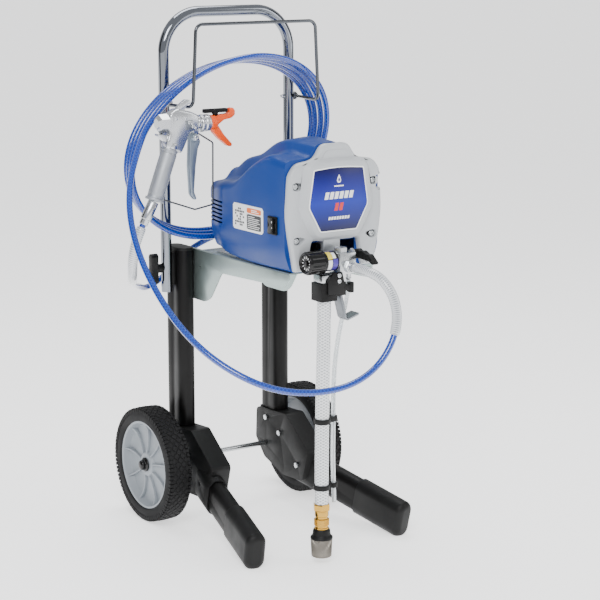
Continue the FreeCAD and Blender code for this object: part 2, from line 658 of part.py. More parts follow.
def front_cover():
    """The grey front cover: a dished moulding with a raised six-sided boss for the label."""
    rim = Part.Face(cover_loop(s.cover_y, 0)).extrude(Vector(0, -s.cover_deep + 4, 0))
    slope = Part.makeLoft([cover_loop(s.cover_y - s.cover_deep + 4, 0), cover_loop(s.cover_y - s.cover_deep, -4)],
                          True, True)
    boss = Part.makeLoft([boss_loop(s.cover_y - s.cover_deep + 1, 9), boss_loop(s.boss_y, 4)], True, True)
    solid = rim.fuse([slope, boss])
    wall = s.shell_wall
    inner = Part.Face(cover_loop(s.cover_y, -wall)).extrude(Vector(0, -s.cover_deep + 2 * wall, 0))
    deeper = Part.makeLoft([boss_loop(s.cover_y, 5), boss_loop(s.boss_y + wall, 1)], True, True)
    solid = solid.cut([inner, deeper])
    holes = [Part.makeCylinder(2.4, 40, Vector(x, s.boss_y - 5, z), Vector(0, 1, 0)) for x, z in COVER_SCREWS]
    wells = [Part.makeCylinder(7, 5, Vector(x, s.cover_y - s.cover_deep - 1, z), Vector(0, 1, 0))
             for x, z in COVER_SCREWS]
    solid = solid.cut(holes + wells)
    posts = [Part.makeCylinder(5.2, s.cover_deep - wall - 0.5, Vector(x, s.cover_y, z), Vector(0, -1, 0))
             for x, z in COVER_SCREWS]
    solid = solid.fuse([post.cut(holes) for post in posts])
    solid = solid.cut([hole for hole in holes + wells])
    part("front_cover", feature(Part.Solid(max(solid.Solids, key=lambda one: one.Volume)), "Cover"))


BOSS = ((-51, 681), (51, 681), (63, 618), (37, 575), (-37, 575), (-63, 618))
COVER_SCREWS = ((-80, 654), (-78, 562), (80, 654), (78, 562))


def boss_loop(y, grow):
    """The label's six-sided outline, scaled about its middle."""
    middle = 628
    flat = [Vector(x * (1 + grow / 57), y, middle + (z - middle) * (1 + grow / 53)) for x, z in BOSS]
    return Part.makePolygon(flat + [flat[0]])


def labels():
    """The front label on the boss and the side label on the left wall, each a thin plate."""
    front = Part.Face(boss_loop(s.boss_y, 0)).extrude(Vector(0, -s.label_thick, 0))
    turned = shell_side_plate(-277, -186, 566, 611)
    part("labels", group(feature(front, "FrontLabel"), feature(turned, "SideLabel")))


def side_x(y):
    """Half the housing's width at a depth y, between its sections."""
    for (y1, w1, *_), (y2, w2, *_) in zip(SHELL, SHELL[1:]):
        if y2 <= y <= y1:
            return w1 + (w2 - w1) * (y - y1) / (y2 - y1)
    return SHELL[-1][1]


def shell_side_plate(front, rear, low, high):
    """A thin plate that follows the flat left wall between two depths."""
    middle = SHELL[4][0]
    flat = [(-side_x(front), front), (-side_x(middle), middle), (-side_x(rear), rear)]
    out = [(x - s.label_thick, y) for x, y in flat]
    loop = [Vector(x, y, low) for x, y in flat + out[::-1]]
    return Part.Face(Part.makePolygon(loop + [loop[0]])).extrude(Vector(0, 0, high - low))


def cover_screws():
    screws = []
    for x, z in COVER_SCREWS:
        head = rod((x, "cover_y-cover_deep+1", z), "8.5", "3", "y")
        shank = rod((x, "cover_y-cover_deep+3", z), "4", "cover_deep+4", "y")
        screws.append(fuse(head, shank))
    part("cover_screws", group(*screws))


def base_plate():
    """The steel plate under the pump unit, with the four bolts that hold it to the shelf."""
    plate = block(("-base_half", "base_front", "shelf_z"), ("base_half", "base_rear", "shelf_z+base_thick"))
    tools = [rod((x, y, "shelf_z-20"), "bolt_dia+2*fit_gap", "40") for x, y in BASE_BOLTS]
    part("base_plate", cut(plate, *tools))
    bolts = []
    for x, y in BASE_BOLTS:
        shank = rod((x, y, "shelf_z-sheet_thick-1"), "bolt_dia", "sheet_thick+base_thick+5")
        head = hexagon((x, y, "shelf_z-sheet_thick-head_deep"), "head_dia-2", "head_deep")
        nut = hexagon((x, y, "shelf_z+base_thick"), "head_dia-2", "5")
        bolts.append(fuse(shank, head, nut))
    part("base_bolts", group(*bolts))


def rocker():
    """The power switch: a rocker that tips about Y in the left wall."""
    body = new_body("Rocker")
    sketch = new_sketch(body, "XZ_Plane")
    outline(sketch, [("0", "-rocker_tall/2+1.6"), ("-rocker_deep/2-1.2", "-rocker_tall/2+1.6"),
                     ("-rocker_deep/2+1", "0"), ("-rocker_deep/2-0.6", "rocker_tall/2-1.6"),
                     ("0", "rocker_tall/2-1.6"), ("4", "0")])
    pad(body, sketch, "rocker_long-1.2", both=True)
    place(body, ("-cover_half-1.5", "rocker_y", "rocker_z"))
    pivot = rod(("-cover_half-1.5", "rocker_y-rocker_long/2", "rocker_z"), "2", "rocker_long", "y")
    part("rocker", cut(body, pivot))


def power_inlet():
    gland = fuse(rod(("-34", "-99", "600"), "18", "26", "y"), rod(("-34", "-73", "600"), "24", "3", "y"))
    part("power_inlet", cut(gland, rod(("-34", "-90", "600"), "8", "40", "y")))


# --- motor, gears and pump ---

def motor():
    length = "motor_rear-motor_front"
    can = rod(("motor_x", "motor_front", "motor_z"), "motor_dia", length, "y")
    room = rod(("motor_x", "motor_front+can_wall", "motor_z"), "motor_dia-2*can_wall", length + "-2*can_wall", "y")
    bore = rod(("motor_x", "motor_front-1", "motor_z"), "shaft_dia+2*run_gap", length + "+2", "y")
    foot = block(("motor_x-26", "motor_front+20", "shelf_z+base_thick"),
                 ("motor_x+26", "motor_rear-20", "motor_z-motor_dia/2+6"))
    part("motor_can", cut(fuse(can, foot), room, bore))
    shaft = rod(("motor_x", "gear_front-2", "motor_z"), "shaft_dia", "motor_rear+4-(gear_front-2)", "y")
    rotor = rod(("motor_x", "motor_front+14", "motor_z"), "rotor_dia", length + "-28", "y")
    pinion = feature(gear_shape(int(s.pinion_teeth), s.shaft_dia / 2 - 0.5), "Pinion")
    lean = mesh_angle()
    flat = Rotation(Vector(1, 0, 0), 90)
    pinion.Placement = Placement(Vector(), Rotation(Vector(0, 1, 0), lean[0]).multiply(flat))
    place(pinion, ("motor_x", "gear_rear", "motor_z"))
    part("armature", fuse(shaft, rotor, pinion))
    gear = feature(gear_shape(int(s.gear_teeth), s.gear_axle_dia / 2 + s.run_gap, True), "Gear")
    gear.Placement = Placement(Vector(), Rotation(Vector(0, 1, 0), lean[1]).multiply(flat))
    place(gear, ("gear_x", "gear_rear", "gear_z"))
    pin = rod(("gear_x+crank_radius", YOKE_REAR + "+yoke_gap", "gear_z"), "crank_pin_dia",
              "gear_front+1-(%s)-yoke_gap" % YOKE_REAR, "y")
    part("drive_gear", fuse(gear, pin))


YOKE_REAR = "gear_front-14"


def mesh_angle():
    """Turn of the pinion and the gear about Y that puts a tooth of one in a gap of the other, in degrees."""
    dx = s.gear_x - s.motor_x
    dz = s.gear_z - s.motor_z
    towards = math.degrees(math.atan2(-dz, dx))
    return towards, towards + 180 + 180 / s.gear_teeth


def gear_shape(teeth, bore, holed=False):
    """A spur gear about Z with slim straight-flanked teeth, one tooth centred on X."""
    module = s.gear_module
    pitch = module * teeth / 2
    tip = pitch + 0.7 * module
    root = pitch - 1.1 * module
    step = 2 * math.pi / teeth
    points = []
    for i in range(teeth):
        for radius, share in ((root, -0.27), (tip, -0.10), (tip, 0.10), (root, 0.27)):
            angle = step * (i + share)
            points.append(Vector(radius * math.cos(angle), radius * math.sin(angle), 0))
    width = s.gear_rear - s.gear_front
    disc = Part.Face(Part.makePolygon(points + [points[0]])).extrude(Vector(0, 0, width))
    tools = [Part.makeCylinder(bore, width)]
    if holed:
        for i in range(6):
            angle = math.radians(60 * i + 30)
            tools.append(Part.makeCylinder(8, width, Vector(28 * math.cos(angle), 28 * math.sin(angle), 0)))
    return disc.cut(tools)


def gear_plate():
    """The plate between motor and gears, with the stub axle that carries the drive gear."""
    front = "plate_rear-plate_thick"
    plate = block(("-62", front, "shelf_z+base_thick"), ("62", "plate_rear", "650"))
    bore = rod(("motor_x", "plate_rear-20", "motor_z"), "shaft_dia+2*run_gap", "40", "y")
    axle = rod(("gear_x", "gear_front+0.4", "gear_z"), "gear_axle_dia", "plate_rear-gear_front-0.4", "y")
    part("gear_plate", cut(fuse(plate, axle), bore))


def pump():
    """The yoke and piston rod in one piece, and the pump cylinder that guides the rod."""
    front = YOKE_REAR + "-yoke_thick"
    frame = block(("gear_x-26", front, "gear_z-15"), ("gear_x+26", YOKE_REAR, "gear_z+15"))
    arm = block(("gear_x-8", "pump_y-rod_dia/2", "gear_z-28"), ("gear_x+8", YOKE_REAR, "gear_z-13"))
    stem = rod(("gear_x", "pump_y", "rod_foot"), "rod_dia", "gear_z-20-rod_foot", "z")
    slot = block(("gear_x-crank_radius-4", front + "-1", "gear_z-4"),
                 ("gear_x+crank_radius+4", YOKE_REAR + "+1", "gear_z+4"))
    part("piston_rod", cut(fuse(frame, arm, stem), slot))
    half = "pump_wide/2"
    body = block(("gear_x-" + half, "pump_y-" + half, "shelf_z+base_thick+0.5"),
                 ("gear_x+" + half, "pump_y+" + half, "pump_top"))
    bore = rod(("gear_x", "pump_y", "pump_foot+4"), "rod_dia+2*run_gap", "100")
    part("pump_cylinder", cut(body, bore))


# --- fluid section ---

def fluid():
    face = "pump_y-pump_wide/2"
    body = block(("block_left", "block_front", "block_low"), ("block_right", face, "block_high"))
    regulator = rod(("knob_right+0.6", "fluid_y", "fluid_z"), "band_dia", "block_left-knob_right-0.6", "x")
    valve = rod(("block_right", "fluid_y", "lever_z"), "11", "lever_x-block_right-7.5", "x")
    inlet = block(("suction_x-13", "fluid_y-13", "block_low-13"), ("block_left+14", "fluid_y+13", "block_low"))
    neck = rod(("suction_x", "fluid_y", "suction_top"), "suction_dia-5", "block_low-10-suction_top")
    drain = rod(("11", "fluid_y", "block_low-9"), "drain_dia", "12")
    tools = [rod(("knob_right-20", "fluid_y", "fluid_z"), "8+2*run_gap", "34", "x"),
             rod(("lever_x-20", "fluid_y", "lever_z"), "5+2*run_gap", "34", "x")]
    part("manifold", cut(fuse(body, regulator, valve, inlet, neck, drain), *tools))
    outlet = fuse(hexagon(("outlet_x", "block_front-12", "outlet_z"), "19", "12", "y"),
                  rod(("outlet_x", "outlet_tip", "outlet_z"), "14", "block_front-outlet_tip-12", "y"))
    part("outlet_fitting", outlet)
    ribs = new_body("Knob")
    sketch = new_sketch(ribs, "YZ_Plane")
    circle_loop(sketch, "knob_dia")
    solid = pad(ribs, sketch, "knob_right-knob_left")
    round_edges(ribs, solid, lambda e: e.CenterOfMass.x < 0.1 and e.Length > 20, "3")
    place(ribs, ("knob_left", "fluid_y", "fluid_z"))
    spindle = rod(("knob_right-1", "fluid_y", "fluid_z"), "8", "14", "x")
    grooves = []
    for i in range(18):
        angle = 2 * math.pi * i / 18
        y = "fluid_y+%.6f*(knob_dia/2+0.6)" % math.cos(angle)
        z = "fluid_z+%.6f*(knob_dia/2+0.6)" % math.sin(angle)
        grooves.append(rod(("knob_left-1", y, z), "3.6", "knob_right-knob_left-5", "x"))
    part("pressure_knob", cut(fuse(ribs, spindle), group(*grooves)))
    hub = rod(("lever_x-7", "fluid_y", "lever_z"), "15", "15", "x")
    spindle = rod(("lever_x-19", "fluid_y", "lever_z"), "5", "14", "x")
    blade = block(("lever_x-5", "fluid_y-lever_long+7", "lever_z-10"), ("lever_x+6", "fluid_y", "lever_z+3"))
    tip = rod(("lever_x-5", "fluid_y-lever_long+7", "lever_z-3.5"), "13", "11", "x")
    part("prime_lever", fuse(hub, spindle, blade, tip))


def circle_loop(sketch, dia):
    radius = number("(%s)/2" % dia)
    index = sketch.addGeometry(Part.Circle(Vector(), UP, radius))
    sketch.addConstraint(Sketcher.Constraint("Coincident", index, 3, -1, 1))
    bind(sketch, "Radius", (index, radius), "(%s)/2" % dia)


def hook():
    """The moulded holder clipped round the top of the suction hose, and the flat steel hook for a pail."""
    body = block(("suction_x-16", "fluid_y-16", "holder_low+8"), ("-5", "fluid_y+15", "block_low-13.2"))
    skirt = block(("suction_x-16", "fluid_y-16", "holder_low"), ("suction_x+16", "fluid_y+15", "holder_low+9"))
    arm = block(("-6", "fluid_y-6", "477"), ("4", "fluid_y+4", "487"))
    hollow = rod(("suction_x", "fluid_y", "holder_low-1"), "suction_dia+2*fit_gap", "60")
    part("hook_holder", cut(fuse(body, skirt, arm), hollow))
    flat = [(-16, 470), (-6, 430), (-1, 425), (22, 432), (23, 436), (-1, 428.4), (-3.2, 431.2), (-12, 470)]
    loop = [Vector(x, s.fluid_y + 8 - s.hook_wide, z) for x, z in flat]
    strip = Part.Face(Part.makePolygon(loop + [loop[0]])).extrude(Vector(0, s.hook_wide, 0))
    part("pail_hook", feature(strip, "Hook"))


# --- suction set and paint hose ---

SUCTION_ROUTE = ((-39, -370, 484), (-39, -370, 404), (-41.2, -369.5, 304), (-43, -370, 204), (-43, -370, 106))
DRAIN_ROUTE = ((11, -370, 497), (11, -370, 476), (12, -361, 448), (9, -351, 412), (3, -348, 372),
               (-5, -352, 330), (-12, -360, 285), (-17, -367, 238), (-20, -370, 190), (-19, -371, 145),
               (-17, -370, 104))
LEAD_ROUTE = ((-1, -405, 519), (-1, -433, 519), (8, -466, 511), (18, -489, 483), (19, -500, 445), (4, -505, 407),
              (-25, -505, 372), (-66, -503, 350), (-116, -500, 342), (-170, -490, 344), (-220, -470, 356),
              (-262, -436, 380), (-292, -388, 412), (-308, -332, 452), (-314, -276, 498), (-312, -222, 548),
              (-300, -172, 602), (-276, -132, 656), (-240, -100, 706))
TAIL_ROUTE = ((-32, -30, 530), (-58, -14, 516), (-73, 16, 496), (-84, 46, 466), (-112, 56, 438),
              (-148, 48, 426), (-178, 26, 438), (-206, -10, 450), (-232, -54, 464), (-252, -92, 486),
              (-264, -115, 517), (-259.4, -122, 552.5), (-246, -122, 576))
"""Points of the hoses, chosen to lie as the hoses hang."""


def tube(label, route, dia):
    """A plain round solid along a route, its volume compared with its section times its length."""
    wire = run_wire(route)
    way = wire.Edges[0].tangentAt(wire.Edges[0].FirstParameter)
    circle = Part.Wire([Part.Circle(Vector(*route[0]), way, dia / 2).toShape()])
    solid = wire.makePipeShell([circle], True, False)
    ratio = solid.Volume / (math.pi * dia * dia / 4 * wire.Length)
    print("%s: volume over section times length %.4f" % (label, ratio))
    return solid, wire


def hoses():
    solid, wire = tube("suction_hose", SUCTION_ROUTE, s.suction_dia)
    neck = Part.makeCylinder(s.suction_dia / 2 - 2.5, 30, Vector(s.suction_x, s.fluid_y, s.suction_top - 1))
    part("suction_hose", feature(solid.cut(neck)))
    solid, wire = tube("drain_tube", DRAIN_ROUTE, s.drain_dia)
    part("drain_tube", feature(solid))
    sleeves = []
    for label, route in (("hose_lead", LEAD_ROUTE), ("hose_tail", TAIL_ROUTE)):
        solid, wire = tube(label, route, s.hose_dia)
        part(label, feature(solid))
        if label == "hose_lead":
            edges = wire.Edges[:8]
        else:
            edges = wire.Edges[-7:]
        inner = Part.Wire(edges)
        first = edges[0]
        start = first.valueAt(first.FirstParameter)
        way = first.tangentAt(first.FirstParameter)
        swept = []
        for size in (s.sleeve_dia, s.hose_dia + 2 * s.fit_gap):
            circle = Part.Wire([Part.Circle(start, way, size / 2).toShape()])
            swept.append(inner.makePipeShell([circle], True, False))
        sleeves.append(feature(swept[0].cut(swept[1])))
    part("hose_sleeves", group(*sleeves))
    part("hose_coil", feature(coil_shape()))


def coil_loop(wide, tall, lean, y):
    """A leaning oval through eighty points of its own formula, closed by one smooth curve."""
    count = 80
    points = []
    for i in range(count):
        angle = 2 * math.pi * i / count
        points.append(Vector(s.coil_x + wide * math.cos(angle), y,
                             s.coil_z + tall * math.sin(angle + math.radians(lean))))
    curve = Part.BSplineCurve()
    curve.interpolate(points, PeriodicFlag=True)
    return Part.Wire([curve.toShape()])


def coil_shape():
    """The outer shape of the hose's turns on the rack: one flat oval ring."""
    outer = Part.Face(coil_loop(s.coil_wide, s.coil_tall, s.coil_lean, s.coil_front))
    inner = Part.Face(coil_loop(s.coil_wide_in, s.coil_tall_in, s.coil_lean, s.coil_front))
    ring = outer.cut(inner).extrude(Vector(0, s.coil_rear - s.coil_front, 0))
    return ring.cut(Part.makeBox(208, 25, 200, Vector(-104, s.coil_front, 472)))


def strainer():
    x, y = "strainer_x", "fluid_y"
    upper = hexagon((x, y, "suction_end-12"), "coupling_dia+3", "12")
    barrel = rod((x, y, "coupling_low"), "coupling_dia", "suction_end-12-coupling_low")
    flange = rod((x, y, "screen_top"), "30", "coupling_low-screen_top")
    part("hose_coupling", fuse(upper, barrel, flange))
    screen = primitive("Cone", (x, y, "screen_low"), "z", Radius1="screen_dia/2-2.5", Radius2="screen_dia/2",
                       Height="screen_top-screen_low")
    room = rod((x, y, "screen_low+2"), "screen_dia-9", "screen_top-screen_low")
    part("strainer_screen", cut(screen, room))
    clips = []
    for z, x1, x2, y2 in (("248", "-42.2", "-15.6", "-365"), ("131", "-43", "-19", "-370.8")):
        ring = rod((x1, y, z), "suction_dia+5", "9")
        link = block((x1 + "+10", "fluid_y-4", z), (x2 + "-3", "fluid_y+4", z + "+9"))
        small = rod((x2, y2, z), "drain_dia+6", "9")
        bores = [rod((x1, y, z + "-1"), "suction_dia+1.4", "11"), rod((x2, y2, z + "-1"), "drain_dia+2.8", "11")]
        clips.append(cut(fuse(ring, link, small), *bores))
    part("tube_clips", group(*clips))


def hose_swivel():
    """The hose's own end fitting under the gun's grip."""
    end = Vector(*TAIL_ROUTE[-1])
    way = (end - Vector(*TAIL_ROUTE[-2])).normalize()
    top, low, up = gun_axis()
    reach = (low - up * 5 - end).dot(way) - 1.7
    neck = Part.makeCylinder(7.5, 10, end, way)
    nut = Part.makeCylinder(9.5, reach - 10, end + way * 10, way)
    part("gun_swivel", feature(neck.fuse(nut)))


# --- spray gun ---

def gun_axis():
    """Upper and lower end of the gun's grip, and the unit way from the lower to the upper."""
    top = Vector(s.grip_top_x, s.gun_y, s.grip_top_z)
    low = Vector(s.grip_foot_x, s.gun_y, s.grip_foot_z)
    return top, low, (top - low).normalize()


def slab(points, wide):
    loop = [Vector(x, s.gun_y - wide / 2, z) for x, z in points]
    return Part.Face(Part.makePolygon(loop + [loop[0]])).extrude(Vector(0, wide, 0))


def gun():
    top, low, way = gun_axis()
    z = s.gun_z
    x = s.trigger_x
    across = Vector(1, 0, 0)
    mid = Vector(0, s.gun_y, z)
    body = slab([(-192, z + 18), (-176, z + 24), (-150, z + 17), (-137, z + 12), (-137, z - 12), (-158, z - 15),
                 (-170, z - 46), (-178, 694), (-204, 704), (-196, z - 14)], 22)
    cap = Part.makeCylinder(16, 24, mid + Vector(-216, 0, 5), across)
    fin = slab([(-186, z + 20), (-172, 778), (-160, 787), (-150, 786), (-149, 779), (-158, 778), (-160, z + 18)], 7)
    wings = slab([(-217, 731), (-196, 727), (-180, 706), (-186, 706), (-200, 719), (-216, 727)], 12)
    neck = Part.makeCylinder(11, 14, mid + Vector(-146, 0, 0), across)
    hanger = slab([(-146, 736), (-134.5, 736), (-134.5, 725.5), (-141, 725.5)], 6)
    collar = Part.makeCylinder(12, 12, top - way * 1, way)
    lugs = Part.makeCylinder(8, 22, Vector(x, s.gun_y - 11, s.trigger_z + 6), Vector(0, 1, 0))
    solid = body.fuse([cap, fin, wings, neck, collar, lugs, hanger])
    room = Part.makeBox(18.5, 12, 32, Vector(x - 10, s.gun_y - 6, s.trigger_z - 22))
    pin = Part.makeCylinder(2.5, 26, Vector(x, s.gun_y - 13, s.trigger_z), Vector(0, 1, 0))
    solid = solid.cut(room).fuse(pin).removeSplitter()
    grip = Part.makeCylinder(s.grip_dia / 2, (top - low).Length, low, way)
    ring = Part.makeCylinder(s.grip_dia / 2 + 2.5, 5, low - way * 5, way)
    solid = solid.cut(grip)
    part("gun_body", feature(Part.Solid(max(solid.Solids, key=lambda one: one.Volume)), "GunBody"))
    part("gun_grip", feature(grip.fuse(ring).removeSplitter(), "Grip"))
    lever = slab([(x - 6, 727), (x + 5, 727), (x + 13, 712), (x + 8, 702), (x + 3, 672), (x - 1, 624), (x + 4, 613),
                  (x + 1, 611), (x - 7, 622), (x - 9, 672)], 11)
    hole = Part.makeCylinder(2.5 + s.run_gap, 40, Vector(x, s.gun_y - 20, s.trigger_z), Vector(0, 1, 0))
    part("trigger", feature(lever.cut(hole), "Trigger"))
    y = s.gun_y
    wire = pipe([(-134.3, y, 727.3), (-104, y, 709), (-105, y, 600), (-142, y, 594), (-203, y, 615.5)],
                s.guard_dia, 6)
    part("guard_wire", feature(wire.cut(low_ring(low, way)), "GuardWire"))
    nut = Part.makeCylinder(s.nut_dia / 2, 20, Vector(-131.5, y, z - 2), across)
    ring = Part.makeCylinder(13, 12.6, Vector(-111.7, y, z - 2), across)
    upper = slab([(-110, z + 6), (-102, z + 9), (-90, 758), (-72, 758.5), (-71.5, 768), (-63, 768), (-60, 757),
                  (-66, 752), (-80, 750), (-97, z - 4)], 16)
    under = slab([(-110, z - 10), (-97, z), (-68, 705), (-70, 701), (-76, 703), (-104, 724)], 16)
    solid = nut.fuse([ring, upper, under])
    tip_bore = Part.makeCylinder(s.tip_dia / 2 + s.run_gap, 60, Vector(s.tip_x, y, z - 8), UP)
    solid = solid.cut([tip_bore]).removeSplitter()
    part("tip_guard", feature(Part.Solid(max(solid.Solids, key=lambda one: one.Volume)), "TipGuard"))
    bar_low = 761
    stem = Part.makeCylinder(s.tip_dia / 2, bar_low - z + 7, Vector(s.tip_x, y, z - 7), UP)
    bar = Part.makeBox(48, 9, 7, Vector(s.tip_x - 24, y - 4.5, bar_low))
    part("tip_handle", feature(stem.fuse(bar).removeSplitter(), "TipHandle"))


def low_ring(low, way):
    return Part.makeCylinder(s.grip_dia / 2 + 2.5, 6, low - way * 5.5, way)


for side, word in ((-1, "left"), (1, "right")):
    stand(side, word)
    clamp_knob(side, word)
frame_bolts()
shelf_bracket()
axle_and_wheels()
handle()
rack()
housing()
front_cover()
labels()
cover_screws()
base_plate()
rocker()
power_inlet()
motor()
gear_plate()
pump()
fluid()
hook()
hoses()
strainer()
hose_swivel()
gun()
doc.recompute()

faults = [obj.Name for obj in doc.Objects if "Invalid" in obj.State or "Error" in obj.State]
if faults:
    raise RuntimeError("objects failed: " + ", ".join(faults))
os.makedirs("parts", exist_ok=True)
whole = FreeCAD.BoundBox()
cords = ("suction_hose", "hose_coupling", "strainer_screen", "drain_tube", "tube_clips", "hose_lead", "hose_coil",
         "hose_tail", "hose_sleeves", "gun_swivel")
for obj in parts:
    shape = obj.Shape
    if shape.isNull() or not shape.isValid() or not shape.Solids:
        raise RuntimeError("bad shape: " + obj.Label)
    if obj.Label not in cords:
        whole.add(shape.BoundBox)
for obj in parts:
    obj.Shape.exportStep("parts/%s.step" % obj.Label)
print("%d sub-parts; the machine without its hoses spans %s" % (len(parts), whole))
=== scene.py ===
import json
import math
from functools import cache

import bmesh
import bpy
from bpy.props import FloatVectorProperty, IntProperty, PointerProperty
from mathutils import Matrix, Vector


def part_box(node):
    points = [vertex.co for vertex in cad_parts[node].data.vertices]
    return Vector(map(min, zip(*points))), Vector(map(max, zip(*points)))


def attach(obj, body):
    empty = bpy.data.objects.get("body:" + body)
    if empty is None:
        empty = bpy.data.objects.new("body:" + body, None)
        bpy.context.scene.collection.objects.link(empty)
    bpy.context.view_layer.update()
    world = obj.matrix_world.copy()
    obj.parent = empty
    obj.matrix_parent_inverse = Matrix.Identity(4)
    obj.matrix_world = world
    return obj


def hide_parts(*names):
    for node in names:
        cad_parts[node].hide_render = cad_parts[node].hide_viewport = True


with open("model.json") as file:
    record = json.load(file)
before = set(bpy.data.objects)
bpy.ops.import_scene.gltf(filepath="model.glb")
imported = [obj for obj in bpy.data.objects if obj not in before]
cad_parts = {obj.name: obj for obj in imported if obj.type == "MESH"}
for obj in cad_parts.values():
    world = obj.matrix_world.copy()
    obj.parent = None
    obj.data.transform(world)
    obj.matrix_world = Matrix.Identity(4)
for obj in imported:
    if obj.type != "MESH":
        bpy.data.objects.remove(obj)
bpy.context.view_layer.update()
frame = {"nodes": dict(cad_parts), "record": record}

bl_info = {
    "name": "Airless Paint Sprayer",
    "version": (1, 0, 0),
    "blender": (4, 5, 0),
    "location": "View3D > Sidebar > Sprayer",
    "description": "Dresses the packed airless paint sprayer with its shapes, finishes, hoses and studio",
    "category": "Object",
}

MM = 0.001
ACROSS, FORWARD, UP = Vector((1, 0, 0)), Vector((0, -1, 0)), Vector((0, 0, 1))


def middle(node):
    low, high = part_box(node)
    return (low + high) / 2


# Sizes below are in millimetres from the point on the floor under the middle of the axle.
ORIGIN = Vector((middle("axle").x, middle("axle").y, 0))
BODY_OF = {node: body for body, nodes in frame["record"]["behaviour"]["bodies"].items() for node in nodes}
SLOT_OF = {row["node"]: row["material_slot"] for row in frame["record"]["subparts"]}


def at(x, y, z):
    """A place in millimetres from the axle's middle, as a point of the scene in metres."""
    return ORIGIN + Vector((x, y, z)) * MM


# --- objects and meshes ---

def show(name, data):
    """A mesh, curve, lamp or camera as an object in the scene, standing at the origin."""
    obj = bpy.data.objects.new(name, data)
    bpy.context.scene.collection.objects.link(obj)
    return obj


def settle(obj):
    """Turn an object's modifiers into a plain mesh."""
    graph = bpy.context.evaluated_depsgraph_get()
    graph.update()
    mesh = bpy.data.meshes.new_from_object(obj.evaluated_get(graph), depsgraph=graph)
    obj.modifiers.clear()
    obj.data = mesh
    return obj


def as_mesh(name, bm):
    mesh = bpy.data.meshes.new(name)
    bm.to_mesh(mesh)
    bm.free()
    return mesh


def from_bm(name, bm, smooth=35, outward=True):
    """Close a bmesh into an object whose faces point outwards and whose sharp edges stay sharp."""
    if outward:
        bmesh.ops.recalc_face_normals(bm, faces=bm.faces)
    mesh = as_mesh(name, bm)
    shade(mesh, smooth)
    return show(name, mesh)


def shade(mesh, smooth):
    """Smooth shading, with edges sharper than an angle in degrees left sharp."""
    mesh.shade_smooth()
    mesh.set_sharp_from_angle(angle=math.radians(smooth))


def bridge(bm, one, two):
    """Faces between two closed loops of as many vertices."""
    for i in range(len(one)):
        j = (i + 1) % len(one)
        bm.faces.new((one[i], one[j], two[j], two[i]))


def bevel(obj, width, segments=2, angle=30, smooth=35):
    """Round the edges of an object that turn more than an angle, width in millimetres."""
    tool = obj.modifiers.new("Rounding", "BEVEL")
    tool.width = width * MM
    tool.segments = segments
    tool.limit_method = "ANGLE"
    tool.angle_limit = math.radians(angle)
    tool.miter_outer = "MITER_ARC"
    settle(obj)
    shade(obj.data, smooth)
    return obj


def carve(obj, tool):
    """Cut the shape of a tool, which is used up, out of an object."""
    cut = obj.modifiers.new("Openings", "BOOLEAN")
    cut.object = tool
    cut.operation = "DIFFERENCE"
    settle(obj)
    bpy.data.objects.remove(tool)


def keep(obj, body, slot, finish_name, *nodes):
    """Give a finished piece its material and its body, and hide the CAD nodes it stands for; the slot is not used."""
    obj.data.materials.clear()
    obj.data.materials.append(FINISHES[finish_name])
    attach(obj, body)
    if nodes:
        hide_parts(*nodes)
    return obj


def join(name, pieces, smooth=35):
    """Several objects as one."""
    bm = bmesh.new()
    for piece in pieces:
        bm.from_mesh(piece.data)
        bpy.data.objects.remove(piece)
    mesh = as_mesh(name, bm)
    shade(mesh, smooth)
    return show(name, mesh)


def unite(name, pieces, body, slot, finish_name, *nodes, smooth=35):
    """Several objects of one finish as one finished piece."""
    return keep(join(name, pieces, smooth), body, slot, finish_name, *nodes)


def soften(node, finish_name, width=0.6):
    """A copy of a CAD piece, its triangles joined into faces and its corners rounded, which stands for it."""
    same_place, flat, smooth = 0.01 * MM, math.radians(0.6), 40
    bm = bmesh.new()
    bm.from_mesh(frame["nodes"][node].data)
    bmesh.ops.remove_doubles(bm, verts=bm.verts, dist=same_place)
    bmesh.ops.dissolve_limit(bm, angle_limit=flat, verts=bm.verts, edges=bm.edges)
    obj = show(node + "_piece", as_mesh(node + "_piece", bm))
    if width:
        bevel(obj, width, smooth=smooth)
    else:
        shade(obj.data, smooth)
    return keep(obj, BODY_OF[node], SLOT_OF[node], finish_name, node)


# --- smooth lines and tubes ---

def line_points(route, steps=14):
    """Points along the smooth line that a route's points control."""
    curve = bpy.data.curves.new("Line", "CURVE")
    curve.dimensions = "3D"
    curve.resolution_u = steps
    spline = curve.splines.new("NURBS")
    spline.points.add(len(route) - 1)
    for point, place in zip(spline.points, route):
        point.co = (*place, 1)
    spline.order_u = 3
    spline.use_endpoint_u = True
    obj = show("Line", curve)
    graph = bpy.context.evaluated_depsgraph_get()
    graph.update()
    mesh = bpy.data.meshes.new_from_object(obj.evaluated_get(graph))
    points = [vertex.co.copy() for vertex in mesh.vertices]
    bpy.data.objects.remove(obj)
    bpy.data.meshes.remove(mesh)
    return points


def run_length(points):
    return sum((b - a).length for a, b in zip(points, points[1:]))


def stretch(points, start, end):
    """The part of a line between two distances along it, in metres, without points that fall together."""
    together = 1e-5
    kept = []
    gone = 0
    for a, b in zip(points, points[1:]):
        step = (b - a).length
        if gone + step >= start and gone <= end:
            kept.append(a.lerp(b, max(0, (start - gone) / step)))
        gone += step
    kept.append(a.lerp(b, 1) if gone <= end else kept[-1].copy())
    return [p for i, p in enumerate(kept) if i == 0 or (p - kept[i - 1]).length > together]


def circle(sides):
    """The angles of a circle's corners, in radians."""
    return [2 * math.pi * k / sides for k in range(sides)]


